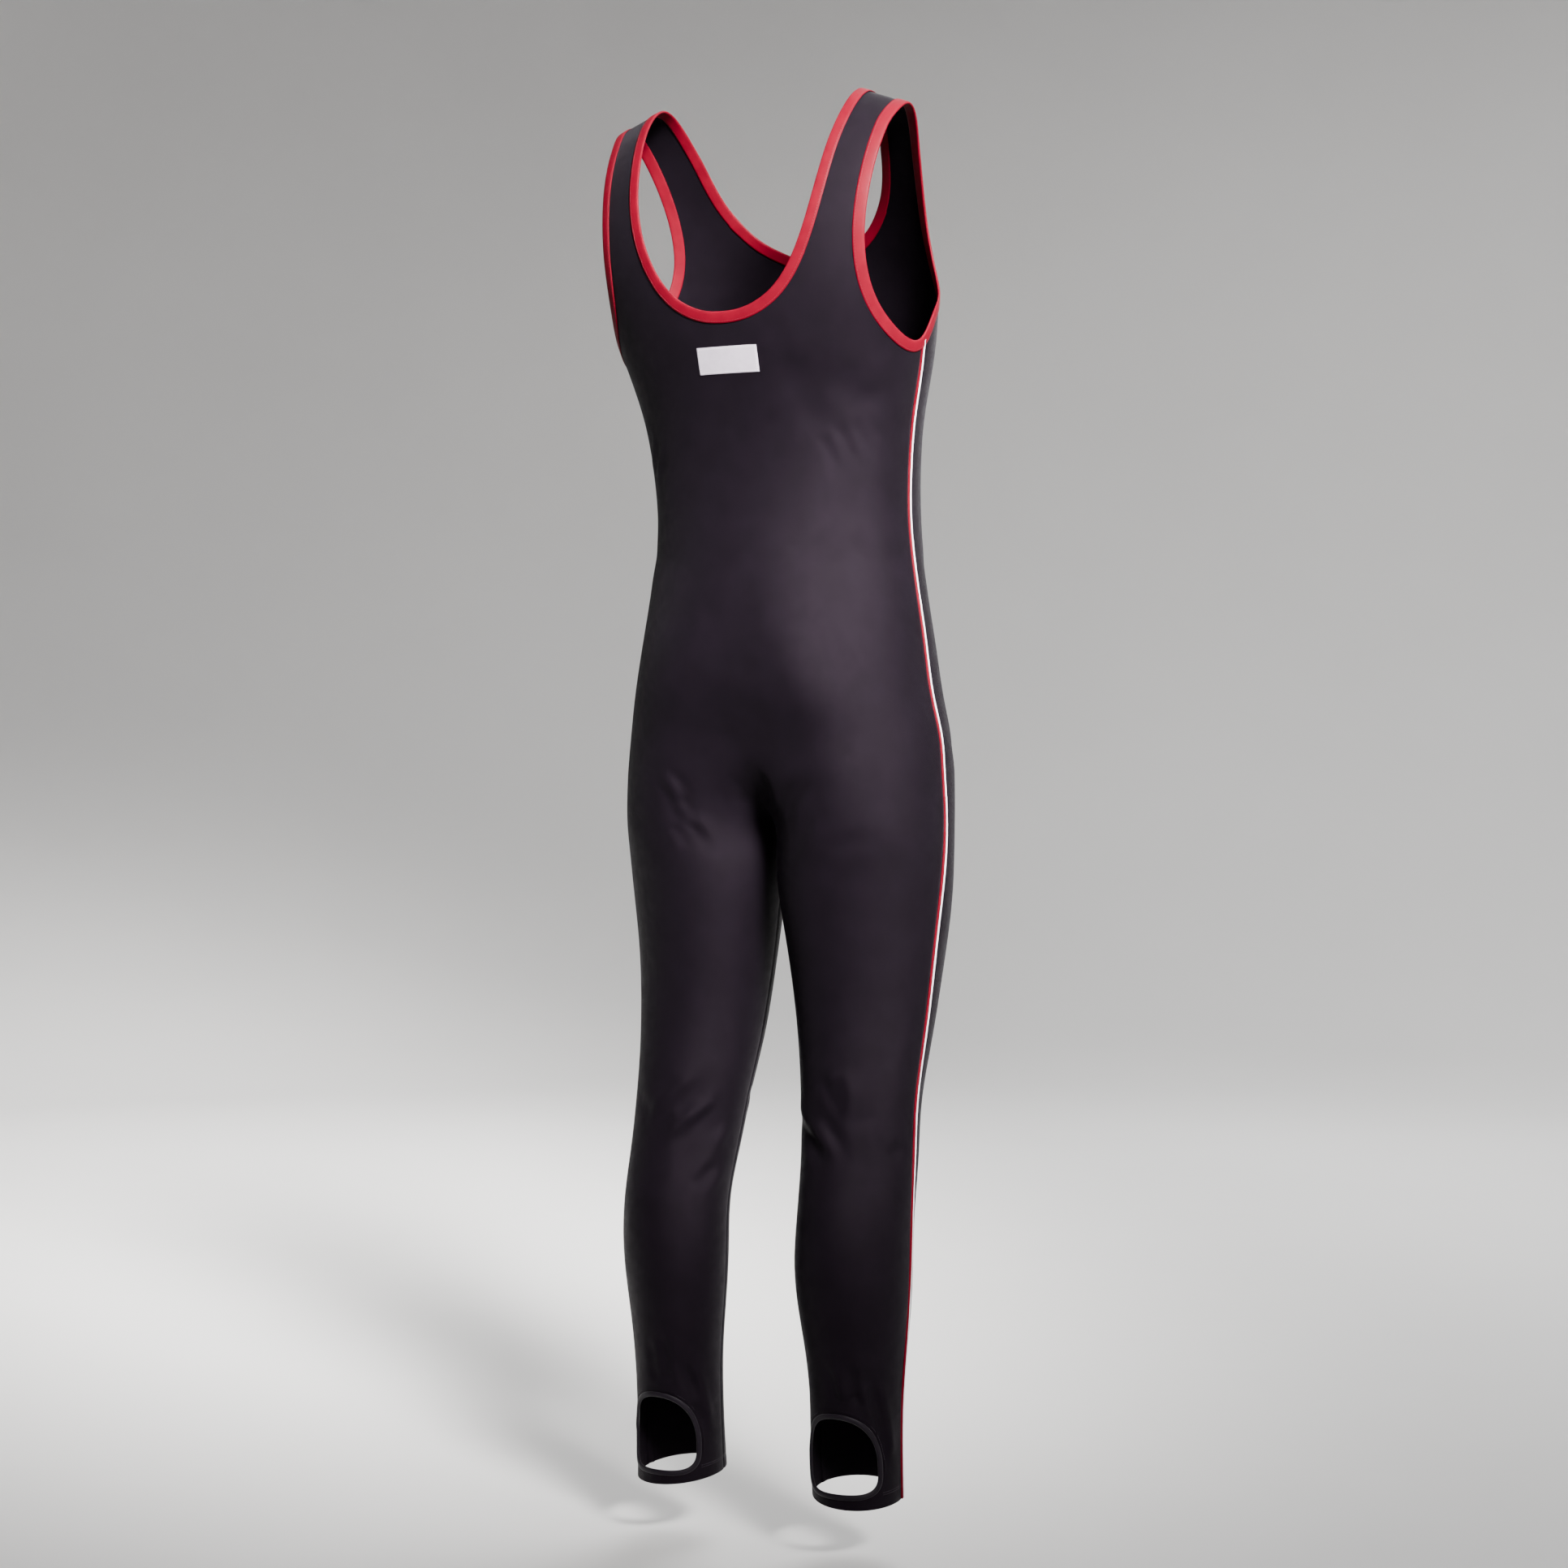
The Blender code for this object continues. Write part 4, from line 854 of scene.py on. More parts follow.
def shell(name, cloth, thickness, lift, material, inside=None):
    """A thin sheet with rounded rims, lifted over the form by its relief."""
    places, points, out, faces = cloth
    count = len(points)
    upper = lifted(points, out, lift)
    lower = upper - out * np.reshape(thickness, (-1, 1))
    middle = (upper + lower) / 2
    starts = faces.ravel()
    ends = np.roll(faces, -1, axis=1).ravel()
    keys = starts.astype(np.int64) * count + ends
    back = ends.astype(np.int64) * count + starts
    rim = ~np.isin(keys, back)
    first, second = starts[rim], ends[rim]
    # Direction out of the rim, shared by the two rim edges at each point.
    run = unit(points[second] - points[first])
    away = np.zeros((count, 3))
    np.add.at(away, first, np.cross(run, out[first]))
    np.add.at(away, second, np.cross(run, out[second]))
    centroid = points[faces].mean(1)
    owner = np.repeat(np.arange(len(faces)), faces.shape[1])[rim]
    sign = np.sign(((points[first] - centroid[owner]) * away[first]).sum(1))
    away *= np.where(np.median(sign) < 0, -1.0, 1.0)
    on_rim = np.unique(np.concatenate((first, second)))
    slot = np.full(count, -1)
    slot[on_rim] = np.arange(len(on_rim))
    away = unit(away[on_rim])
    half = (upper[on_rim] - lower[on_rim]) / 2
    vertices, quads = [upper, lower], [faces, faces[:, ::-1] + count]
    above = [first, second]
    for k in range(RIM_STEPS):
        turn = math.pi * (k + 1) / (RIM_STEPS + 1)
        ring = middle[on_rim] + half * math.cos(turn)
        ring = ring + away * RIM_BULGE * math.sin(turn)
        base = 2 * count + k * len(on_rim)
        below = [slot[first] + base, slot[second] + base]
        quads.append(np.stack((above[1], above[0], below[0], below[1]), -1))
        vertices.append(ring)
        above = below
    quads.append(np.stack((above[1], above[0], first + count, second + count), -1))
    flat = knit_place(places)
    uv = np.concatenate([flat, flat] + [flat[on_rim]] * RIM_STEPS)
    vertices, quads = np.concatenate(vertices), np.concatenate(quads).tolist()
    made = mesh_piece(name, vertices, quads, material, uv)
    # A second, darker material on the inner faces: partly the matte wrong side, partly painted
    # shade.
    if inside is not None:
        made.data.materials.append(inside)
        for polygon in made.data.polygons[len(faces):2 * len(faces)]:
            polygon.material_index = 1
    return made


def sweep(name, rings, material, closed=True):
    """A solid swept through rings of points; an open one is capped at both ends."""
    count, size = rings.shape[:2]
    here = np.arange(count if closed else count - 1)[:, None]
    there = (here + 1) % count
    j = np.arange(size)[None, :]
    k = (j + 1) % size
    here, there = here * size, there * size
    faces = np.stack((here + j, here + k, there + k, there + j), -1).reshape(-1, 4).tolist()
    along = np.linalg.norm(np.diff(rings.mean(1), axis=0), axis=1)
    along = np.concatenate(((0.0,), np.cumsum(along)))
    around = np.linalg.norm(np.diff(rings[count // 2], axis=0), axis=1)
    around = np.concatenate(((0.0,), np.cumsum(around)))
    uv = np.stack(np.broadcast_arrays(around[None, :], along[:, None]), -1).reshape(-1, 2)
    if not closed:
        faces += [list(range(size)), list(range((count - 1) * size, count * size))]
    return mesh_piece(name, rings.reshape(-1, 3), faces, material, uv)


def swept_pair(name, left, material, slot, *nodes, closed=True):
    """A solid on each hand; {} stands for the hand in the names of its nodes."""
    made = []
    for hand, rings in (("left", left), ("right", left * MIRROR)):
        piece = sweep(name + "_" + hand, rings, material, closed)
        finish_piece(piece, slot, *(node.format(hand) for node in nodes))
        made.append(piece)
    return made


# ---------------------------------------------------------------- the two panels

def row_heights():
    """Heights of the rows from the hem to the underarm."""
    low = np.linspace(0.0, HEEL_TOP_ROW, HEEL_ROWS + 1)
    leg = np.linspace(HEEL_TOP_ROW, CROTCH, LEG_ROWS + 1)[1:]
    share = np.arange(1, FORK_ROWS + 1) / FORK_ROWS
    fork = CROTCH + (FORK_TOP - CROTCH) * share ** FORK_POWER
    body = np.linspace(FORK_TOP, UNDERARM, BODY_ROWS + 1)[1:]
    return np.concatenate((low, leg, fork, body))


def hem_shift(angle, height):
    """How far a row is moved up by the hem's tilt, fading out above the heel."""
    tilt = HEM_MIDDLE - HEM_TILT * np.cos(angle - math.radians(HEM_TURN))
    return tilt * np.maximum(0.0, 1 - height / HEEL_TOP_ROW)


def row_places(height, side):
    """Places of one row, from the centre line or inseam to the side seam."""
    front = side == "front"
    start = place(inner_angle(height, front), height)
    if height <= CROTCH:
        start = stepped(start, -SEAM_GAP / 2 if front else SEAM_GAP / 2)
    end = seam_place(height, SEAM_EDGE[side])
    angles = np.linspace(start[..., 0], end[..., 0], COLUMNS + 1)
    return place(angles, height + hem_shift(angles, height))


def heel_turn(places):
    """Direction from the heel opening's middle to each place, in the opening's scale."""
    across = (np.degrees(places[:, 0]) - HEEL_CENTRE) / HEEL_HALF_ANGLE
    up = places[:, 1] - HEEL_WIDEST
    up = up / np.where(up > 0, HEEL_HIGH - HEEL_WIDEST, HEEL_WIDEST - HEEL_LOW)
    return np.arctan2(up, across)


def add_heel(cloth, rows, places):
    """Rings of cloth from the rows about the heel opening in to its edge."""
    first, last, top = HEEL_MARGIN, COLUMNS - HEEL_MARGIN, HEEL_ROWS
    loop = [(0, j) for j in range(first, last)] + [(i, last) for i in range(top)]
    loop += [(top, j) for j in range(last, first, -1)] + [(i, first) for i in range(top, 0, -1)]
    outside = np.array([places[i][j] for i, j in loop])
    turns = heel_turn(outside)
    inside = heel_place(turns, ROLL_WIDTH)
    rings = [np.array([rows[i][j] for i, j in loop])]
    for k in range(1, HEEL_RINGS + 1):
        rings.append(cloth.add(outside + (inside - outside) * (k / HEEL_RINGS)))
    for out in under_tape(ROLL_WIDTH):
        rings.append(cloth.add(heel_place(turns, out)))
    cloth.fill([np.append(ring, ring[0]) for ring in rings])


def under_tape(width):
    """Distances from a tape's fold to the rows of cloth inside it."""
    return [width + (CLOTH_EDGE - width) * k / UNDER_TAPE_ROWS
            for k in range(1, UNDER_TAPE_ROWS + 1)]


def below_ridge(places):
    """Keeps cloth a little short of the shoulder line."""
    places = np.array(places)
    places[:, 1] = np.minimum(places[:, 1], RIDGE - END_GAP)
    return places


def add_body(cloth, side):
    """Adds the rows from the hem to the underarm; gives the last row and its places."""
    front = side == "front"
    rows, row_spots = [], []
    for i, height in enumerate(row_heights()):
        spots = row_places(height, side)
        row = np.full(COLUMNS + 1, -1)
        kept = np.ones(COLUMNS + 1, bool)
        if not front and 0 < i < HEEL_ROWS:
            kept[HEEL_MARGIN + 1:COLUMNS - HEEL_MARGIN] = False
        if height > CROTCH:
            row[0] = cloth.add(spots[:1], *centre_line(np.array([height]), front))[0]
            kept[0] = False
        elif height == CROTCH:
            point = surface(spots[:1]) * np.array((0.0, 1.0, 1.0))
            row[0] = cloth.add(spots[:1], point, np.array((0.0, 0.0, -1.0)))[0]
            kept[0] = False
        row[kept] = cloth.add(spots[kept])
        rows.append(row)
        row_spots.append(spots)
    if front:
        cloth.fill(rows)
    else:
        legs = rows[:HEEL_ROWS + 1]
        cloth.fill([row[:HEEL_MARGIN + 1] for row in legs])
        cloth.fill([row[COLUMNS - HEEL_MARGIN:] for row in legs])
        cloth.fill(rows[HEEL_ROWS:])
        add_heel(cloth, rows, row_spots)
    return rows[-1], row_spots[-1]


def half_panel(side):
    """The wearer's left half of a panel."""
    cloth, front, beside = Cloth(), side == "front", SEAM_EDGE[side]
    body_row, bottom = add_body(cloth, side)
    neck, arm = neck_edge(side, neck_steps(side)), arm_edge(arm_steps(side))
    neck_ring, arm_ring = below_ridge(neck.at(TAPE_WIDTH)), below_ridge(arm.at(TAPE_WIDTH))
    arm_ring[0] = seam_place(arm_ring[0][1], beside)
    share = np.linspace(0.0, 1.0, STRAP_COLUMNS + 1)[:, None]
    corner = neck_ring[NECK_COLUMNS] * (1 - share) + arm_ring[ARM_COLUMNS] * share
    top = np.concatenate((
        neck_ring[:NECK_COLUMNS], corner, arm_ring[ARM_COLUMNS - 1::-1][:ARM_COLUMNS]))
    yoke = [body_row]
    for k in range(1, YOKE_ROWS[side] + 1):
        yoke.append(cloth.add_row(bottom + (top - bottom) * (k / YOKE_ROWS[side]), front))
    cloth.fill(yoke)
    top_row = yoke[-1]
    neck_row = list(top_row[:NECK_COLUMNS + 1])
    arm_row = list(top_row[:-ARM_COLUMNS - 2:-1])
    strap = [top_row[NECK_COLUMNS:NECK_COLUMNS + STRAP_COLUMNS + 1]]
    for k in range(1, STRAP_ROWS[side] + 1):
        low, high = neck_ring[NECK_COLUMNS + k], arm_ring[ARM_COLUMNS + k]
        row = cloth.add(low * (1 - share) + high * share)
        strap.append(row)
        neck_row.append(row[0])
        arm_row.append(row[-1])
    cloth.fill(strap)
    under = [neck_row]
    for out in under_tape(TAPE_WIDTH):
        under.append(cloth.add_row(below_ridge(neck.at(out)), front))
    cloth.fill(under)
    under = [arm_row]
    for out in under_tape(TAPE_WIDTH):
        spots = below_ridge(arm.at(out))
        spots[0] = seam_place(spots[0][1], beside)
        under.append(cloth.add(spots))
    cloth.fill(under[::-1])
    return cloth


def above_hem(places):
    """Height of each place above the tilted hem."""
    return places[:, 1] - hem_shift(places[:, 0], places[:, 1])


def hem_thickness(places):
    """The cloth is double where the hem is turned up inside."""
    single = ease((above_hem(places) - HEM_DEEP + HEM_EDGE) / HEM_FADE)
    return KNIT_THICK * (1 + HEM_MORE * (1 - single))


def hem_groove(places):
    """The needle line sinks into the cloth along the top of the hem."""
    away = above_hem(places) - sum(HEM_NEEDLES) / 2
    return -HEM_GROOVE * bell(away, HEM_GROOVE_WIDTH)


def seam_dip(places, side):
    """The panels roll in where they are joined at the inseam and the side seam."""
    height = level(places[:, 1])[0]
    pace = np.linalg.norm(directions(places)[0], axis=1)
    inner = (places[:, 0] - inner_angle(height, side == "front")) * pace
    inner = np.where(height < CROTCH - INSEAM_END, inner, 1.0)
    outer = (places[:, 0] - seam_angle(places[:, 1])) * pace - SEAM_EDGE[side]
    return -INSEAM_DIP * bell(inner, INSEAM_DIP_WIDTH) - SIDE_DIP * bell(outer, SIDE_DIP_WIDTH)


def heel_groove(places):
    """The cloth sinks where the roll is sewn on, along the arch of the heel opening."""
    near = (places[:, 1] < HEEL_TOP_ROW) & (np.cos(places[:, 0]) > 0)
    turn = heel_turn(places[near])
    edge = surface(heel_edge(turn))
    away = np.linalg.norm(surface(places[near]) - edge, axis=1) - ROLL_WIDTH
    share = ease((np.sin(turn) - HEEL_ARCH_FROM) / HEEL_ARCH_FADE)
    welt = HEEL_WELT * bell(away - HEEL_WELT_AT, HEEL_WELT_WIDTH)
    lift = np.zeros(len(places))
    lift[near] = share * (welt - HEEL_DIP * bell(away - HEEL_DIP_AT, HEEL_DIP_WIDTH))
    return lift


def make_panel(side, material, inside):
    """The back or the front, from the neck to the hems of both legs."""
    cloth = half_panel(side).whole()
    places = cloth[0]
    lift = hem_groove(places) + seam_dip(places, side)
    if side == "back":
        lift += heel_groove(places)
    piece = shell(side + "_cloth", cloth, hem_thickness(places), lift, material, inside)
    finish_piece(piece, "knit", side + "_panel")
    return piece


# ---------------------------------------------------------------- tapes over the edges

def tape_profile(width, thick, crown, clear):
    """Points of a folded tape: distance in from the fold, and height over the cloth."""
    low, top = -KNIT_THICK - clear, clear + thick
    mid = (clear + low) / 2
    half = top - mid
    turn = np.linspace(-math.pi / 2, math.pi / 2, 9)[1:-1]
    outer_fold = [(half * (1 - math.cos(t)), mid + half * math.sin(t)) for t in turn[::-1]]
    inner = half - thick
    inner_fold = [
        (thick + inner * (1 - math.cos(t)), mid + inner * math.sin(t)) for t in turn[1::2]]
    outer = [(width, clear + thick * 0.30), (width - thick * 0.25, top - thick * 0.12)]
    outer += [(width * f, top + crown * math.sin(math.pi * f))
              for f in (0.86, 0.66, 0.44, 0.24)]
    below = [(width * f, low - thick - crown * 0.4 * math.sin(math.pi * f))
             for f in (0.24, 0.55, 0.86)]
    below += [(width - thick * 0.25, low - thick * 0.88), (width, low - thick * 0.30)]
    inside_low = [(width - TAPE_LIP, low), (width * 0.5, low)]
    inside_high = [(width * 0.5, clear), (width - TAPE_LIP, clear)]
    return outer + outer_fold + below + inside_low + inner_fold + inside_high


def tape_rings(at, profile, pucker):
    """Rings of the profile along an edge; at(distance) gives points and normals."""
    base, base_out = at(CLOTH_EDGE)
    inner, _ = at(CLOTH_EDGE + EDGE_PROBE)
    away = base - inner
    away = unit(away - base_out * (away * base_out).sum(1)[:, None])
    lift = relief(base)
    station = np.arange(len(base))
    ripple = pucker * np.sin(station * 1.9) * np.sin(station * 0.37 + 1)
    rings = []
    for distance, height in profile:
        if distance < CLOTH_EDGE:
            spots = base + away * (CLOTH_EDGE - distance) + base_out * (lift + height)[:, None]
        else:
            points, out = at(distance)
            spots = points + out * (relief(points) + height + ripple)[:, None]
        rings.append(spots)
    return np.stack(rings, 1)


def joined_round(back, front):
    """All round the garment, from its left half behind and in front."""
    half = np.concatenate((back, front[-2::-1]))
    return np.concatenate((half, half[-2:0:-1] * MIRROR))


def neck_halves():
    """The left half of the neck's edge, behind and in front."""
    return [neck_edge(side, spread(neck_curve(side), 0.0, 1.0, TAPE_STATIONS))
            for side in ("back", "front")]


def whole_armhole():
    """The left armhole's edge, starting from the shoulder line."""
    back = spread(arm_curve(), -1.0, 0.0, TAPE_STATIONS)
    front = spread(arm_curve(), 0.0, 1.0, TAPE_STATIONS)[1:-1]
    return arm_edge(np.concatenate((back, front)))


def make_tapes(material):
    """Tape folded over the neck and over each armhole."""
    profile = tape_profile(TAPE_WIDTH, TAPE_THICK, TAPE_CROWN, TAPE_CLEAR)
    halves = [tape_rings(edge.points, profile, TAPE_PUCKER) for edge in neck_halves()]
    neck = sweep("neck_tape", joined_round(*halves), material)
    finish_piece(neck, "red_binding", "neck_binding")
    left = tape_rings(whole_armhole().points, profile, TAPE_PUCKER)
    return [neck] + swept_pair(
        "armhole_tape", left, material, "red_binding", "armhole_binding_{}")


def make_heel_rolls(material):
    """Tape rolled over the edge of each heel opening, flatter along its base."""
    profile = tape_profile(ROLL_WIDTH, ROLL_THICK, ROLL_CROWN, ROLL_CLEAR)
    turns = np.linspace(0.0, 2 * math.pi, HEEL_STATIONS, endpoint=False)
    left = tape_rings(lambda out: skin(heel_place(turns, out)), profile, ROLL_PUCKER)
    return swept_pair("heel_roll", left, material, "heel_binding", "heel_binding_{}")


# ---------------------------------------------------------------- side seams and label

def strip_rings(profile):
    """Rings of a strip in the left side seam, from the hem to below the armhole tape."""
    low, high = (arm_edge(arm_steps(side)[:1]).at(TAPE_WIDTH)[0, 1] for side in SEAM_EDGE)
    back, front = SEAM_EDGE.values()
    rings = []
    for across, height in profile:
        share = (across - back) / (front - back)
        top = low + (high - low) * share - END_GAP
        places = seam_place(np.linspace(0.0, top, STRIP_STATIONS), across)
        places[:, 1] += hem_shift(places[:, 0], places[:, 1])
        rings.append(lifted(*skin(places), height))
    return np.stack(rings, 1)


def strip_profile(start, width, rise):
    """Round-topped strip from one side to the other, and its flat underside."""
    turns = np.linspace(0.0, math.pi, 11)
    top = [(start + width * (0.5 + 0.5 * math.cos(t)), rise * math.sin(t) - STRIP_SUNK)
           for t in turns]
    return top + [(start, -KNIT_THICK), (start + width, -KNIT_THICK)]


def make_side_strips(piping, stripe):
    """A white piping in each side seam and a red stripe behind it, both round on top."""
    front = strip_profile(SEAM_GAP / 2, PIPING_WIDTH, PIPING_RISE)
    behind = strip_profile(-SEAM_GAP / 2 - STRIPE_WIDTH, STRIPE_WIDTH, STRIPE_RISE)
    made = []
    for name, profile, material, slot in (
            ("piping", front, piping, "white_piping"), ("stripe", behind, stripe, "red_stripe")):
        nodes = [f"side_{name}_{{}}_{i + 1}" for i in range(STRIP_LENGTHS)]
        made += swept_pair(name, strip_rings(profile), material, slot, *nodes, closed=False)
    return made


def make_label(material):
    """The woven label, hemmed all round and left bare."""
    cloth = Cloth()
    half = np.linspace(0.0, LABEL_HALF_WIDTH, LABEL_COLUMNS + 1)
    rows = []
    for rise in rise_at(np.linspace(*LABEL_CLIMB, LABEL_ROWS + 1)):
        angles = np.append(0.0, angle_at(half[1:], rise, False))
        rows.append(cloth.add_row(place(angles, rise), False))
    cloth.fill(rows)
    label = cloth.whole()
    edge = LABEL_HALF_WIDTH - np.abs(label[1][:, 0])
    lift = LABEL_LIFT + LABEL_HEM * bell(edge - LABEL_HEM_AT, LABEL_HEM_WIDTH)
    piece = shell("back_label", label, LABEL_THICK, lift, material)
    finish_piece(piece, "label", "label")
    return piece


# ---------------------------------------------------------------- seam allowances inside

def allowance(name, centre, half_width, upright, material):
    """A flat overlocked strip on the inside of a seam that runs through these places."""
    rings = []
    for across, height in ALLOWANCE_PROFILE:
        step = across * half_width
        places = stepped(centre, 0.0, step) if upright else stepped(centre, step)
        points, out = skin(places)
        low = relief(points) - hem_thickness(places)
        rings.append(points + out * (low + height)[:, None])
    return swept_pair(name, np.stack(rings, 1), material, "knit", closed=False)


def make_allowances(material):
    """What the side seams, inseams and shoulder seams turn in."""
    top = arm_edge(np.array([0.0])).at(TAPE_WIDTH)[0, 1] - SIDE_SHORT
    middle = sum(SEAM_EDGE.values()) / 2
    side = seam_place(np.linspace(ALLOWANCE_FROM, top, SIDE_STATIONS), middle)
    heights = np.linspace(ALLOWANCE_FROM, CROTCH - INSEAM_SHORT, INSEAM_STATIONS)
    inner = place(inner_angle(heights, False), heights)
    for places in (side, inner):
        places[:, 1] += hem_shift(places[:, 0], places[:, 1])
    near = neck_edge("back", np.array([1.0])).at(TAPE_WIDTH + SHOULDER_SHORT)[0, 0]
    far = arm_edge(np.array([-1.0])).at(TAPE_WIDTH + SHOULDER_SHORT)[0, 0]
    shoulder = place(np.linspace(near, far, SHOULDER_STATIONS), RIDGE)
    made = allowance("side_seam_inside", side, SIDE_ALLOWANCE, False, material)
    made += allowance("inseam_inside", inner, ALLOWANCE, False, material)
    return made + allowance("shoulder_seam_inside", shoulder, ALLOWANCE, True, material)


# ---------------------------------------------------------------- nodes

def feed(tree, node, inputs):
    """Links each input to a socket, or gives it a constant."""
    for key, value in inputs.items():
        if isinstance(value, bpy.types.NodeSocket):
            tree.links.new(value, node.inputs[key])
        else:
            node.inputs[key].default_value = value


def lay(tree, kind, inputs=None, **settings):
    """A new node with these settings and inputs."""
    node = tree.nodes.new(kind)
    for key, value in settings.items():
        setattr(node, key, value)
    feed(tree, node, inputs or {})
    return node


# ---------------------------------------------------------------- sewing

def stitch_tree():
    """Places one small rounded stitch at each step along a line."""
    tree = bpy.data.node_groups.new("Stitch Line", "GeometryNodeTree")
    face = tree.interface
    face.new_socket("Geometry", in_out="INPUT", socket_type="NodeSocketGeometry")
    for name in ("Spacing", "Length", "Width", "Height"):
        face.new_socket(name, in_out="INPUT", socket_type="NodeSocketFloat")
    face.new_socket("Seed", in_out="INPUT", socket_type="NodeSocketInt")
    face.new_socket("Thread", in_out="INPUT", socket_type="NodeSocketMaterial")
    face.new_socket("Geometry", in_out="OUTPUT", socket_type="NodeSocketGeometry")
    add = functools.partial(lay, tree)
    given = add("NodeGroupInput").outputs
    curve = add("GeometryNodeMeshToCurve", {"Mesh": given["Geometry"]})
    spaced = add("GeometryNodeResampleCurve", {
        "Curve": curve.outputs["Curve"], "Length": given["Spacing"]}, mode="LENGTH")
    tangent = add("GeometryNodeInputTangent")
    outward = add("GeometryNodeInputNamedAttribute", {"Name": "outward"},
                  data_type="FLOAT_VECTOR")
    along = add("FunctionNodeAlignRotationToVector", {
        "Vector": tangent.outputs["Tangent"]}, axis="X")
    upright = add("FunctionNodeAlignRotationToVector", {
        "Rotation": along.outputs["Rotation"], "Vector": outward.outputs["Attribute"]},
        axis="Z", pivot_axis="X")
    ball = add("GeometryNodeMeshUVSphere", {"Segments": 7, "Rings": 5, "Radius": 0.5})
    size = add("ShaderNodeCombineXYZ", {
        "X": given["Length"], "Y": given["Width"], "Z": given["Height"]})
    stitch = add("GeometryNodeTransform", {
        "Geometry": ball.outputs["Mesh"], "Scale": size.outputs["Vector"]})
    uneven = add("FunctionNodeRandomValue", {
        "Seed": given["Seed"], "Min": (0.90, 0.88, 0.85), "Max": (1.05, 1.10, 1.12)},
        data_type="FLOAT_VECTOR")
    laid = add("GeometryNodeInstanceOnPoints", {
        "Points": spaced.outputs["Curve"], "Instance": stitch.outputs["Geometry"],
        "Rotation": upright.outputs["Rotation"], "Scale": uneven.outputs[0]})
    real = add("GeometryNodeRealizeInstances", {"Geometry": laid.outputs["Instances"]})
    smooth = add("GeometryNodeSetShadeSmooth", {"Geometry": real.outputs["Geometry"]})
    thread = add("GeometryNodeSetMaterial", {
        "Geometry": smooth.outputs["Geometry"], "Material": given["Thread"]})
    add("NodeGroupOutput", {"Geometry": thread.outputs["Geometry"]})
    return tree


def sew(name, lines, sizes, material, slot):
    """Stitches along lines of (points, outward directions, closed)."""
    edges, start = [], 0
    for points, _, closed in lines:
        index = np.arange(start, start + len(points))
        pairs = np.stack((index, np.roll(index, -1)), -1).tolist()
        edges += pairs if closed else pairs[:-1]
        start += len(points)
    mesh = bpy.data.meshes.new(name)
    mesh.from_pydata(np.concatenate([line[0] for line in lines]).tolist(), edges, [])
    outward = mesh.attributes.new("outward", "FLOAT_VECTOR", "POINT")
    outward.data.foreach_set("vector", np.concatenate([line[1] for line in lines]).ravel())
    piece = put(name, mesh)
    tree = bpy.data.node_groups.get("Stitch Line") or stitch_tree()
    modifier = piece.modifiers.new("Stitches", "NODES")
    modifier.node_group = tree
    values = dict(zip(("Spacing", "Length", "Width", "Height"), sizes), Thread=material)
    values["Seed"] = bpy.context.scene.unitard.seed
    for socket in tree.interface.items_tree:
        if socket.in_out == "INPUT" and socket.name in values:
            modifier[socket.identifier] = values[socket.name]
    evaluated = piece.evaluated_get(bpy.context.evaluated_depsgraph_get())
    plain = bpy.data.meshes.new_from_object(evaluated)
    piece.modifiers.remove(modifier)
    piece.data = plain
    if not plain.polygons:
        raise RuntimeError(name + ": no stitches were made")
    finish_piece(piece, slot)


def both_hands(points, out, height, closed):
    """A line lifted over the cloth on the left, and its mirror image."""
    points = lifted(points, out, height)
    return [(points, out, closed), (points * MIRROR, out * MIRROR, closed)]


def tape_lines():
    """Needle lines of the tapes, a little in from their lower edges."""
    height = TAPE_CLEAR + TAPE_THICK + TAPE_THREAD_LIFT
    halves = []
    for edge in neck_halves():
        points, out = edge.points(TAPE_NEEDLE)
        halves.append((lifted(points, out, height), out))
    points, out = (joined_round(*pair) for pair in zip(*halves))
    armholes = both_hands(*whole_armhole().points(TAPE_NEEDLE), height, True)
    return [(points, out, True)] + armholes


def hem_lines():
    """Twin needle lines round each hem, broken by the heel opening, and at each arch."""
    lines = []
    turn = np.linspace(*np.radians(HEM_SEWN), HEM_POINTS)
    for up in HEM_NEEDLES:
        places = place(turn, up + hem_shift(turn, up))
        lines += both_hands(*skin(places), HEM_THREAD_LIFT + hem_groove(places), False)
    arch = heel_place(np.linspace(-ARCH_MORE, math.pi + ARCH_MORE, ARCH_POINTS), ROLL_NEEDLE)
    return lines + both_hands(*skin(arch), ARCH_THREAD_LIFT, False)


def label_lines():
    """The needle line round the label, a little in from its edge."""
    low, high = LABEL_CLIMB[0] + LABEL_NEEDLE[1], LABEL_CLIMB[1] - LABEL_NEEDLE[1]
    half = LABEL_HALF_WIDTH - LABEL_NEEDLE[0]
    across = np.linspace(-half, half, LABEL_POINTS[0])
    up = np.linspace(low, high, LABEL_POINTS[1])[1:-1]
    x = np.concatenate((across, 0 * up + half, across[::-1], 0 * up - half))
    climb = np.concatenate((0 * across + low, up, 0 * across + high, up[::-1]))
    rise = rise_at(climb)
    points, out = skin(place(angle_at(np.abs(x), rise, False), rise))
    flip = np.where(x[:, None] < 0, MIRROR, 1.0)
    points, out = points * flip, out * flip
    return [(lifted(points, out, LABEL_THREAD_LIFT), out, True)]


def make_stitches(spacing, length, red, black, pale):
    """Stitches of the tapes, of the hems and heel openings, and of the label."""
    coarse = spacing, length, *TAPE_THREAD
    fine = spacing * FINE_STITCH, length * FINE_STITCH, *FINE_THREAD
    sew("tape_stitching", tape_lines(), coarse, red, "red_binding")
    sew("hem_stitching", hem_lines(), fine, black, "knit")
    sew("label_stitching", label_lines(), fine, pale, "label")


# ---------------------------------------------------------------- materials

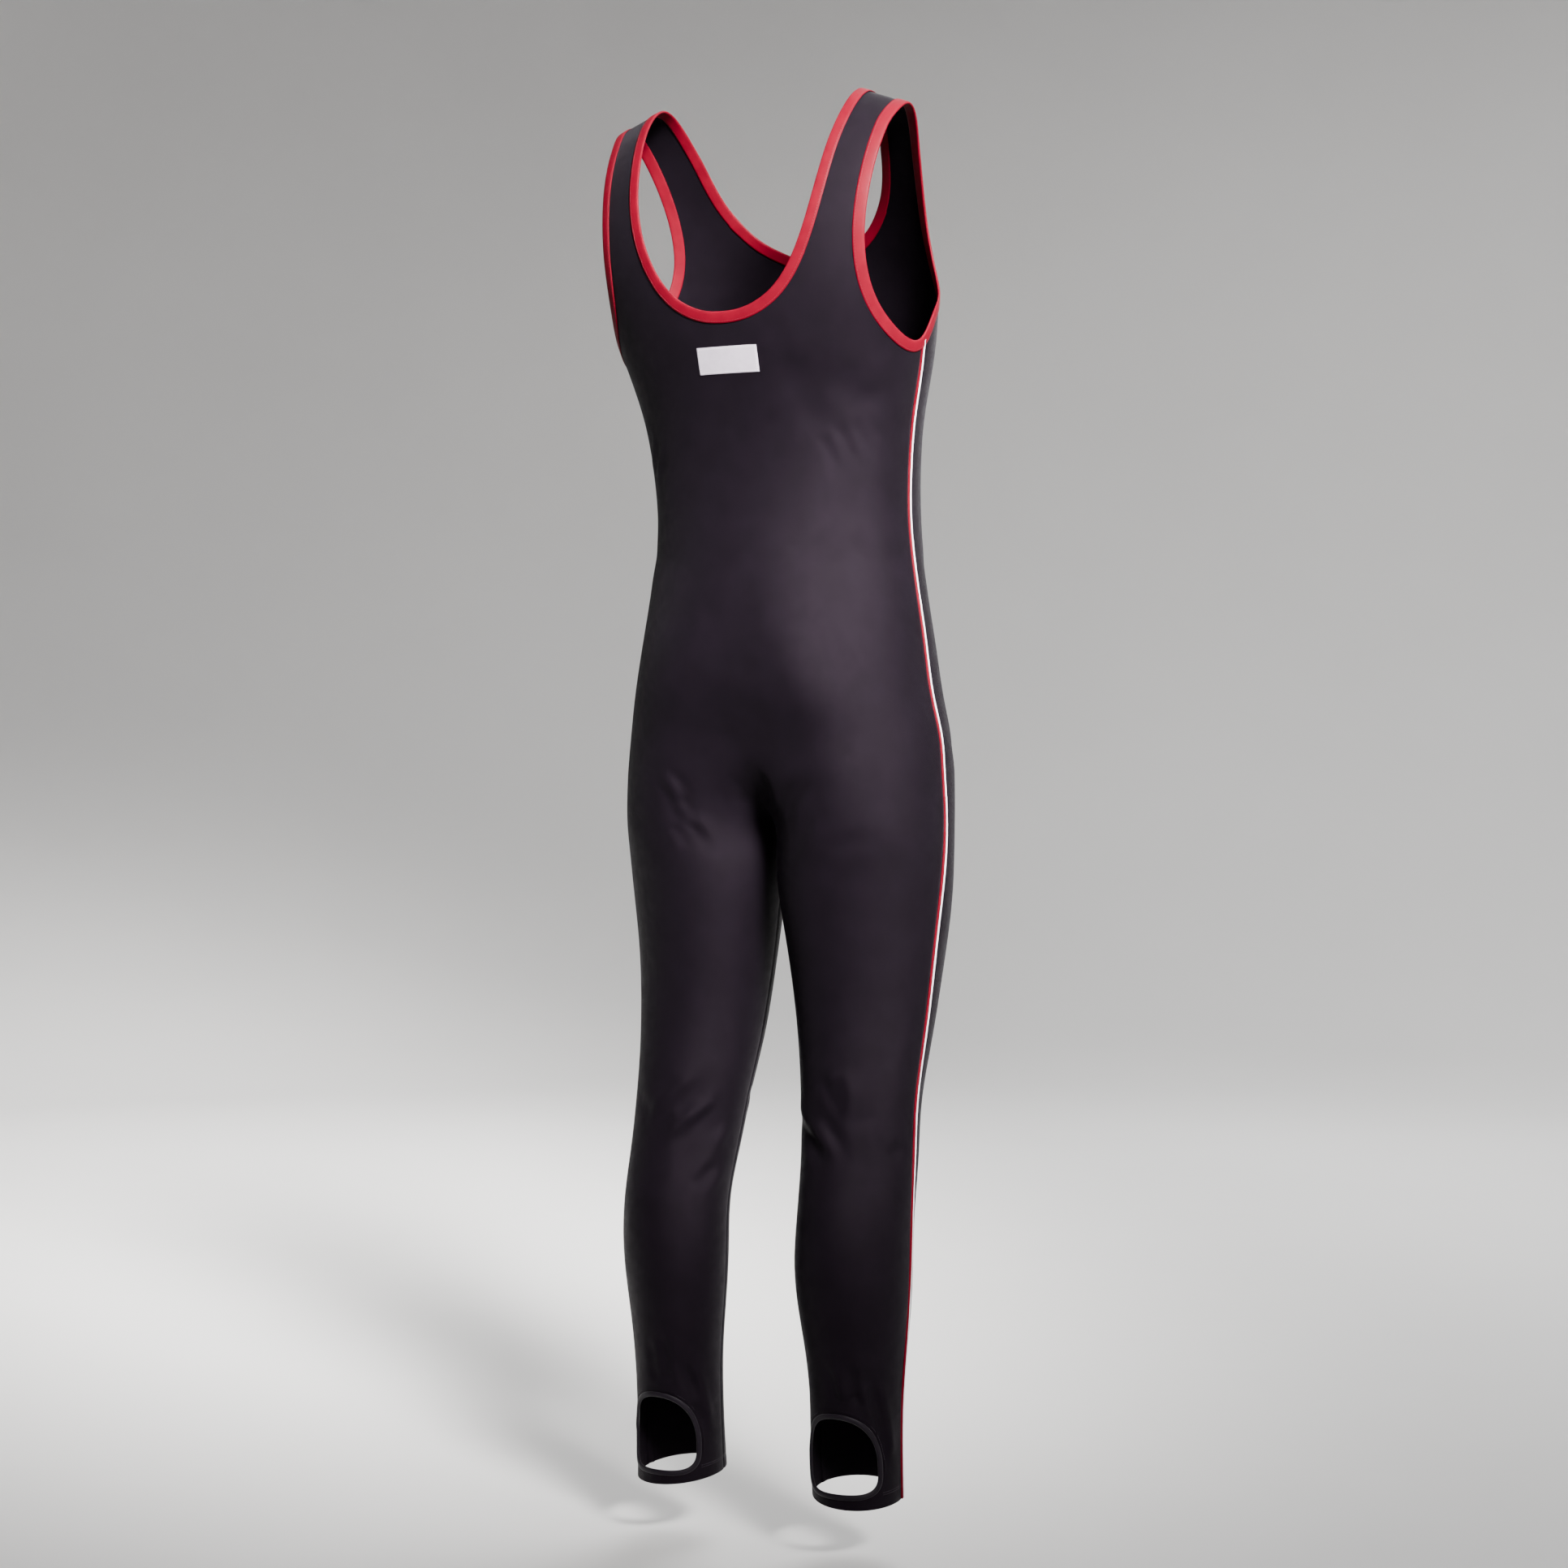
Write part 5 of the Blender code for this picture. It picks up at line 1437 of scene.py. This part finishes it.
def shaded(colour, share):
    """The colour darkened, or lightened up to white."""
    return tuple(min(1.0, c * share) for c in colour)


class Finish:
    """A material and a short way to lay out its nodes."""

    def __init__(self, name):
        self.material = bpy.data.materials.new(name)
        self.material.use_nodes = True
        tree = self.material.node_tree
        self.add = functools.partial(lay, tree)
        self.set = functools.partial(feed, tree, tree.nodes["Principled BSDF"])

    def math(self, operation, first, second=0.0, third=0.0):
        """Result of one operation on up to three values."""
        values = {0: first, 1: second, 2: third}
        return self.add("ShaderNodeMath", values, operation=operation).outputs[0]

    def wave(self, along, pitch):
        """Rises and falls once in each pitch."""
        return self.math("SINE", self.math("MULTIPLY", along, 2 * math.pi / pitch))

    def knit_coordinates(self):
        """Metres round the cloth and up it."""
        uv = self.add("ShaderNodeUVMap", uv_map="Knit")
        split = self.add("ShaderNodeSeparateXYZ", {"Vector": uv.outputs["UV"]})
        return split.outputs["X"], split.outputs["Y"]

    def noise(self, scale, detail=3.0):
        """Uneven patches, scale to the metre."""
        spots = self.add("ShaderNodeTexCoord").outputs["Object"]
        return self.add("ShaderNodeTexNoise", {
            "Vector": spots, "Scale": scale, "Detail": detail}).outputs["Fac"]

    def shade(self, colour, spread_by, factor):
        """Lets a colour vary from a little darker to a little lighter."""
        ramp = self.add("ShaderNodeValToRGB", {"Fac": factor})
        low, high = ramp.color_ramp.elements
        low.position, high.position = 0.32, 0.70
        low.color = (*shaded(colour, 1 - spread_by), 1.0)
        high.color = (*shaded(colour, 1 + spread_by), 1.0)
        self.set({"Base Color": ramp.outputs["Color"]})

    def gloss(self, low, high, factor):
        """Lets the roughness vary between two values."""
        fit = self.add("ShaderNodeMapRange", {
            "Value": factor, "From Min": 0.3, "From Max": 0.7,
            "To Min": low, "To Max": high})
        self.set({"Roughness": fit.outputs["Result"]})

    def bump(self, height, strength, distance):
        """Fine relief that the mesh doesn't have."""
        node = self.add("ShaderNodeBump", {
            "Height": height, "Strength": strength, "Distance": distance})
        self.set({"Normal": node.outputs["Normal"]})


def loops(finish, pitch_round, pitch_up):
    """Height of knitted loops: wales that run up, each of two leaning legs."""
    u, v = finish.knit_coordinates()
    wale = finish.math("DIVIDE", u, pitch_round)
    half = finish.math("ABSOLUTE", finish.math("SUBTRACT", finish.math("FRACT", wale), 0.5))
    ridge = finish.math("SUBTRACT", 1.0, finish.math("POWER", finish.math(
        "MULTIPLY", finish.math("ABSOLUTE", finish.math("SUBTRACT", half, 0.25)), 4.0), 2.0))
    lean = finish.math("ADD", finish.math("DIVIDE", v, pitch_up),
                       finish.math("MULTIPLY", half, -1.1))
    leg = finish.wave(lean, 1.0)
    return finish.math("MULTIPLY", ridge, finish.math("MULTIPLY_ADD", leg, 0.32, 0.68))


def knit_finish(name, colour, pitch, sheen, rough=(0.50, 0.60), gloss=0.065):
    """Fine stretch knit with a satin face."""
    finish = Finish(name)
    finish.shade(colour, 0.16, finish.noise(38.0))
    finish.gloss(*rough, finish.noise(95.0, 2.0))
    finish.bump(loops(finish, pitch, pitch * 0.82), 0.42, 0.00022)
    finish.set({
        "Sheen Weight": sheen, "Sheen Roughness": 0.42, "Sheen Tint": (0.86, 0.80, 0.90, 1.0),
        "Specular IOR Level": gloss, "Specular Tint": (1.0, 0.80, 0.98, 1.0)})
    return finish.material


def tape_finish(name, colour, sheen=0.0, gloss=0.07):
    """Close ribbed binding tape, a little uneven in colour."""
    finish = Finish(name)
    finish.shade(colour, 0.10, finish.noise(70.0))
    finish.gloss(0.46, 0.60, finish.noise(140.0, 2.0))
    u, v = finish.knit_coordinates()
    rib, course = finish.wave(u, RIB_PITCH), finish.wave(v, COURSE_PITCH)
    finish.bump(finish.math("MULTIPLY_ADD", course, 0.35, rib), 0.30, 0.00007)
    finish.set({"Sheen Weight": sheen, "Sheen Roughness": 0.40, "Specular IOR Level": gloss})
    return finish.material


def woven_finish(name, colour):
    """Satin woven label, threads crossing at right angles."""
    finish = Finish(name)
    finish.shade(colour, 0.05, finish.noise(160.0))
    finish.gloss(0.48, 0.60, finish.noise(220.0, 2.0))
    u, v = finish.knit_coordinates()
    warp, weft = finish.wave(u, WARP_PITCH), finish.wave(v, WEFT_PITCH)
    finish.bump(finish.math("MULTIPLY", warp, weft), 0.30, 0.00006)
    return finish.material


def thread_finish(name, colour, roughness):
    """Spun sewing thread."""
    finish = Finish(name)
    finish.shade(colour, 0.10, finish.noise(420.0, 2.0))
    finish.set({"Roughness": roughness})
    finish.bump(finish.noise(2600.0, 1.0), 0.25, 0.00006)
    return finish.material


def floor_finish(colour):
    """Matt floor with hardly any grain."""
    finish = Finish("floor_matt")
    finish.shade(colour, 0.015, finish.noise(1.6, 4.0))
    finish.gloss(0.80, 0.92, finish.noise(9.0))
    finish.bump(finish.noise(240.0, 2.0), 0.05, 0.0004)
    return finish.material


# ---------------------------------------------------------------- stage

def make_floor(material):
    """A round floor that curves up into a low wall, pale all over."""
    profile = [(radius, 0.0) for radius in (*FLOOR_RINGS, FLOOR_RADIUS)]
    profile += [(FLOOR_RADIUS + FLOOR_BEND * math.sin(t), FLOOR_BEND - FLOOR_BEND * math.cos(t))
                for t in np.linspace(0.08, math.pi / 2, 14)]
    profile += [(FLOOR_RADIUS + FLOOR_BEND, height) for height in WALL_RINGS]
    vertices = [(0.0, 0.0, FLOOR_HEIGHT)]
    for radius, rise in profile:
        for k in range(FLOOR_TURNS):
            a = 2 * math.pi * k / FLOOR_TURNS
            vertices.append((radius * math.cos(a), radius * math.sin(a), FLOOR_HEIGHT + rise))
    around = [(k, (k + 1) % FLOOR_TURNS) for k in range(FLOOR_TURNS)]
    faces = [(0, 1 + k, 1 + n) for k, n in around]
    for row in range(len(profile) - 1):
        low = 1 + row * FLOOR_TURNS
        high = low + FLOOR_TURNS
        faces += [(low + k, high + k, high + n, low + n) for k, n in around]
    mesh = bpy.data.meshes.new("floor")
    mesh.from_pydata(vertices, [], faces)
    mesh.materials.append(material)
    mesh.shade_smooth()
    put("floor", mesh)


def make_light(name, spot, target, size, power, colour, spread_degrees):
    """A round lamp that faces its target."""
    lamp = bpy.data.lights.new(name, "AREA")
    lamp.shape = "DISK"
    lamp.size = size
    lamp.energy = power
    lamp.spread = math.radians(spread_degrees)
    lamp.color = colour
    made = put(name, lamp)
    made.location = spot
    made.rotation_euler = (Vector(target) - Vector(spot)).to_track_quat("-Z", "Y").to_euler()


def make_camera():
    """The view from behind and to the right."""
    lens = bpy.data.cameras.new("camera")
    lens.sensor_width = 36.0
    lens.lens = CAMERA_LENS
    lens.clip_start = 0.05
    lens.clip_end = 60.0
    made = put("camera", lens)
    made.location = CAMERA_SPOT
    made.rotation_euler = (math.radians(CAMERA_TILT), 0.0, math.radians(CAMERA_TURN))
    bpy.context.scene.camera = made


def make_world():
    """Faint, even light from all round."""
    world = bpy.data.worlds.new("plain_light")
    world.use_nodes = True
    tree = world.node_tree
    feed(tree, tree.nodes["Background"], {"Color": SKY_COLOUR, "Strength": SKY_STRENGTH})
    bpy.context.scene.world = world


# ---------------------------------------------------------------- settings and operators

class UnitardColours(bpy.types.PropertyGroup):
    knit: FloatVectorProperty(
        name="Knit", description="Colour of the main cloth",
        subtype="COLOR", size=3, min=0.0, max=1.0, default=(0.0030, 0.0019, 0.0034))
    red: FloatVectorProperty(
        name="Red", description="Colour of the tapes and side stripes",
        subtype="COLOR", size=3, min=0.0, max=1.0, default=(0.105, 0.0001, 0.007))
    white: FloatVectorProperty(
        name="White", description="Colour of the side pipings",
        subtype="COLOR", size=3, min=0.0, max=1.0, default=(0.74, 0.69, 0.74))
    label: FloatVectorProperty(
        name="Label", description="Colour of the woven label",
        subtype="COLOR", size=3, min=0.0, max=1.0, default=(0.38, 0.33, 0.39))
    floor: FloatVectorProperty(
        name="Floor", description="Colour of the floor",
        subtype="COLOR", size=3, min=0.0, max=1.0, default=(0.82, 0.81, 0.80))


class UnitardSizes(bpy.types.PropertyGroup):
    fold_strength: FloatProperty(
        name="Fold strength", description="How deep the folds are, against their own depth",
        default=1.0, min=0.0, max=1.6, subtype="FACTOR")
    knit_pitch: FloatProperty(
        name="Knit pitch", description="Width of one wale of the knit",
        default=0.0007, min=0.0003, max=0.004, unit="LENGTH", precision=5)
    stitch_spacing: FloatProperty(
        name="Stitch spacing", description="Distance from one stitch to the next",
        default=0.0031, min=0.0015, max=0.01, unit="LENGTH", precision=5)
    stitch_length: FloatProperty(
        name="Stitch length", description="Length of one stitch",
        default=0.0024, min=0.001, max=0.008, unit="LENGTH", precision=5)
    light_power: FloatProperty(
        name="Light", description="Power of which each light has its share",
        default=74.0, min=0.0, max=2000.0, unit="POWER")
    seed: IntProperty(name="Seed", description="Unevenness of the stitches", default=7)
    colours: PointerProperty(
        type=UnitardColours, name="Colours", description="Colours of cloth and trim")


class UNITARD_OT_panels(bpy.types.Operator):
    """Make the back and front of the unitard"""
    bl_idname = "unitard.panels"
    bl_label = "Back and Front"

    def execute(self, context):
        sizes = context.scene.unitard
        colour, pitch = sizes.colours.knit, sizes.knit_pitch
        knit = knit_finish("knit_satin", colour, pitch, sheen=0.02)
        # The wrong side is darker than the knit: partly its matte back face, partly painted
        # shade for the dim inside of the garment and its seam allowances.
        wrong_side_painted_shade = knit_finish(
            "knit_wrong_side", shaded(colour, WRONG_SIDE_PAINTED_SHADE), pitch,
            sheen=0.0, rough=(0.75, 0.85), gloss=0.05)
        for side in ("back", "front"):
            make_panel(side, knit, wrong_side_painted_shade)
        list(make_allowances(wrong_side_painted_shade))
        return {"FINISHED"}


class UNITARD_OT_tapes(bpy.types.Operator):
    """Bind the neck and the armholes with tape"""
    bl_idname = "unitard.tapes"
    bl_label = "Neck and Armhole Tapes"

    def execute(self, context):
        colour = context.scene.unitard.colours.red
        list(make_tapes(tape_finish("red_tape", colour)))
        return {"FINISHED"}


class UNITARD_OT_side_strips(bpy.types.Operator):
    """Let the piping and the stripe into each side seam"""
    bl_idname = "unitard.side_strips"
    bl_label = "Side Piping and Stripe"

    def execute(self, context):
        colours = context.scene.unitard.colours
        white = tape_finish("white_piping", colours.white, sheen=0.1)
        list(make_side_strips(white, tape_finish("red_stripe", colours.red)))
        return {"FINISHED"}


class UNITARD_OT_heels(bpy.types.Operator):
    """Roll tape over the edge of each heel opening"""
    bl_idname = "unitard.heels"
    bl_label = "Heel Openings"

    def execute(self, context):
        # The heel tape is lighter than the knit, a painted highlight where the roll's crown
        # catches the light.
        colour = shaded(context.scene.unitard.colours.knit, HEEL_TAPE_PAINTED_HIGHLIGHT)
        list(make_heel_rolls(tape_finish("heel_tape_painted_highlight", colour, sheen=0.10, gloss=0.12)))
        return {"FINISHED"}


class UNITARD_OT_label(bpy.types.Operator):
    """Sew the bare woven label below the back neck"""
    bl_idname = "unitard.label"
    bl_label = "Label"

    def execute(self, context):
        colour = context.scene.unitard.colours.label
        make_label(woven_finish("label_weave", colour))
        return {"FINISHED"}


class UNITARD_OT_stitches(bpy.types.Operator):
    """Sew the tapes, hems, heel openings and label"""
    bl_idname = "unitard.stitches"
    bl_label = "Stitching"

    def execute(self, context):
        sizes = context.scene.unitard
        colours = sizes.colours
        red = thread_finish("red_thread", shaded(colours.red, RED_THREAD_SHADE), 0.5)
        # The black thread is grey, lighter than the knit: a painted highlight along the hem and
        # arch needle lines.
        black = thread_finish("black_thread_painted_highlight", shaded(colours.knit, BLACK_THREAD_PAINTED_HIGHLIGHT), 0.4)
        pale = thread_finish("pale_thread", colours.white, 0.5)
        make_stitches(sizes.stitch_spacing, sizes.stitch_length, red, black, pale)
        return {"FINISHED"}


class UNITARD_OT_stage(bpy.types.Operator):
    """Make the floor, the lights and the camera"""
    bl_idname = "unitard.stage"
    bl_label = "Floor, Lights and Camera"

    def execute(self, context):
        sizes = context.scene.unitard
        make_floor(floor_finish(sizes.colours.floor))
        for name, (spot, target, size, share, colour, spread_degrees) in LIGHTS.items():
            power = sizes.light_power * share
            make_light(name, spot, target, size, power, colour, spread_degrees)
        make_world()
        make_camera()
        return {"FINISHED"}


class UNITARD_PT_panel(bpy.types.Panel):
    """Settings and steps of the unitard"""
    bl_label = "Unitard"
    bl_idname = "UNITARD_PT_panel"
    bl_space_type = "VIEW_3D"
    bl_region_type = "UI"
    bl_category = "Unitard"

    def draw(self, context):
        sizes = context.scene.unitard
        for name in ("fold_strength", "knit_pitch", "stitch_spacing", "stitch_length",
                     "light_power", "seed"):
            self.layout.prop(sizes, name)
        for name in ("knit", "red", "white", "label", "floor"):
            self.layout.prop(sizes.colours, name)
        for step in STEPS:
            self.layout.operator(step.bl_idname)


STEPS = (
    UNITARD_OT_panels, UNITARD_OT_tapes, UNITARD_OT_side_strips, UNITARD_OT_heels,
    UNITARD_OT_label, UNITARD_OT_stitches, UNITARD_OT_stage)
CLASSES = (UnitardColours, UnitardSizes, *STEPS, UNITARD_PT_panel)


def register():
    for each in CLASSES:
        bpy.utils.register_class(each)
    bpy.types.Scene.unitard = PointerProperty(type=UnitardSizes)


def unregister():
    del bpy.types.Scene.unitard
    for each in reversed(CLASSES):
        bpy.utils.unregister_class(each)


def main():
    register()
    bpy.ops.unitard.panels()
    bpy.ops.unitard.tapes()
    bpy.ops.unitard.side_strips()
    bpy.ops.unitard.heels()
    bpy.ops.unitard.label()
    bpy.ops.unitard.stitches()
    bpy.ops.unitard.stage()


if __name__ == "__main__":
    main()
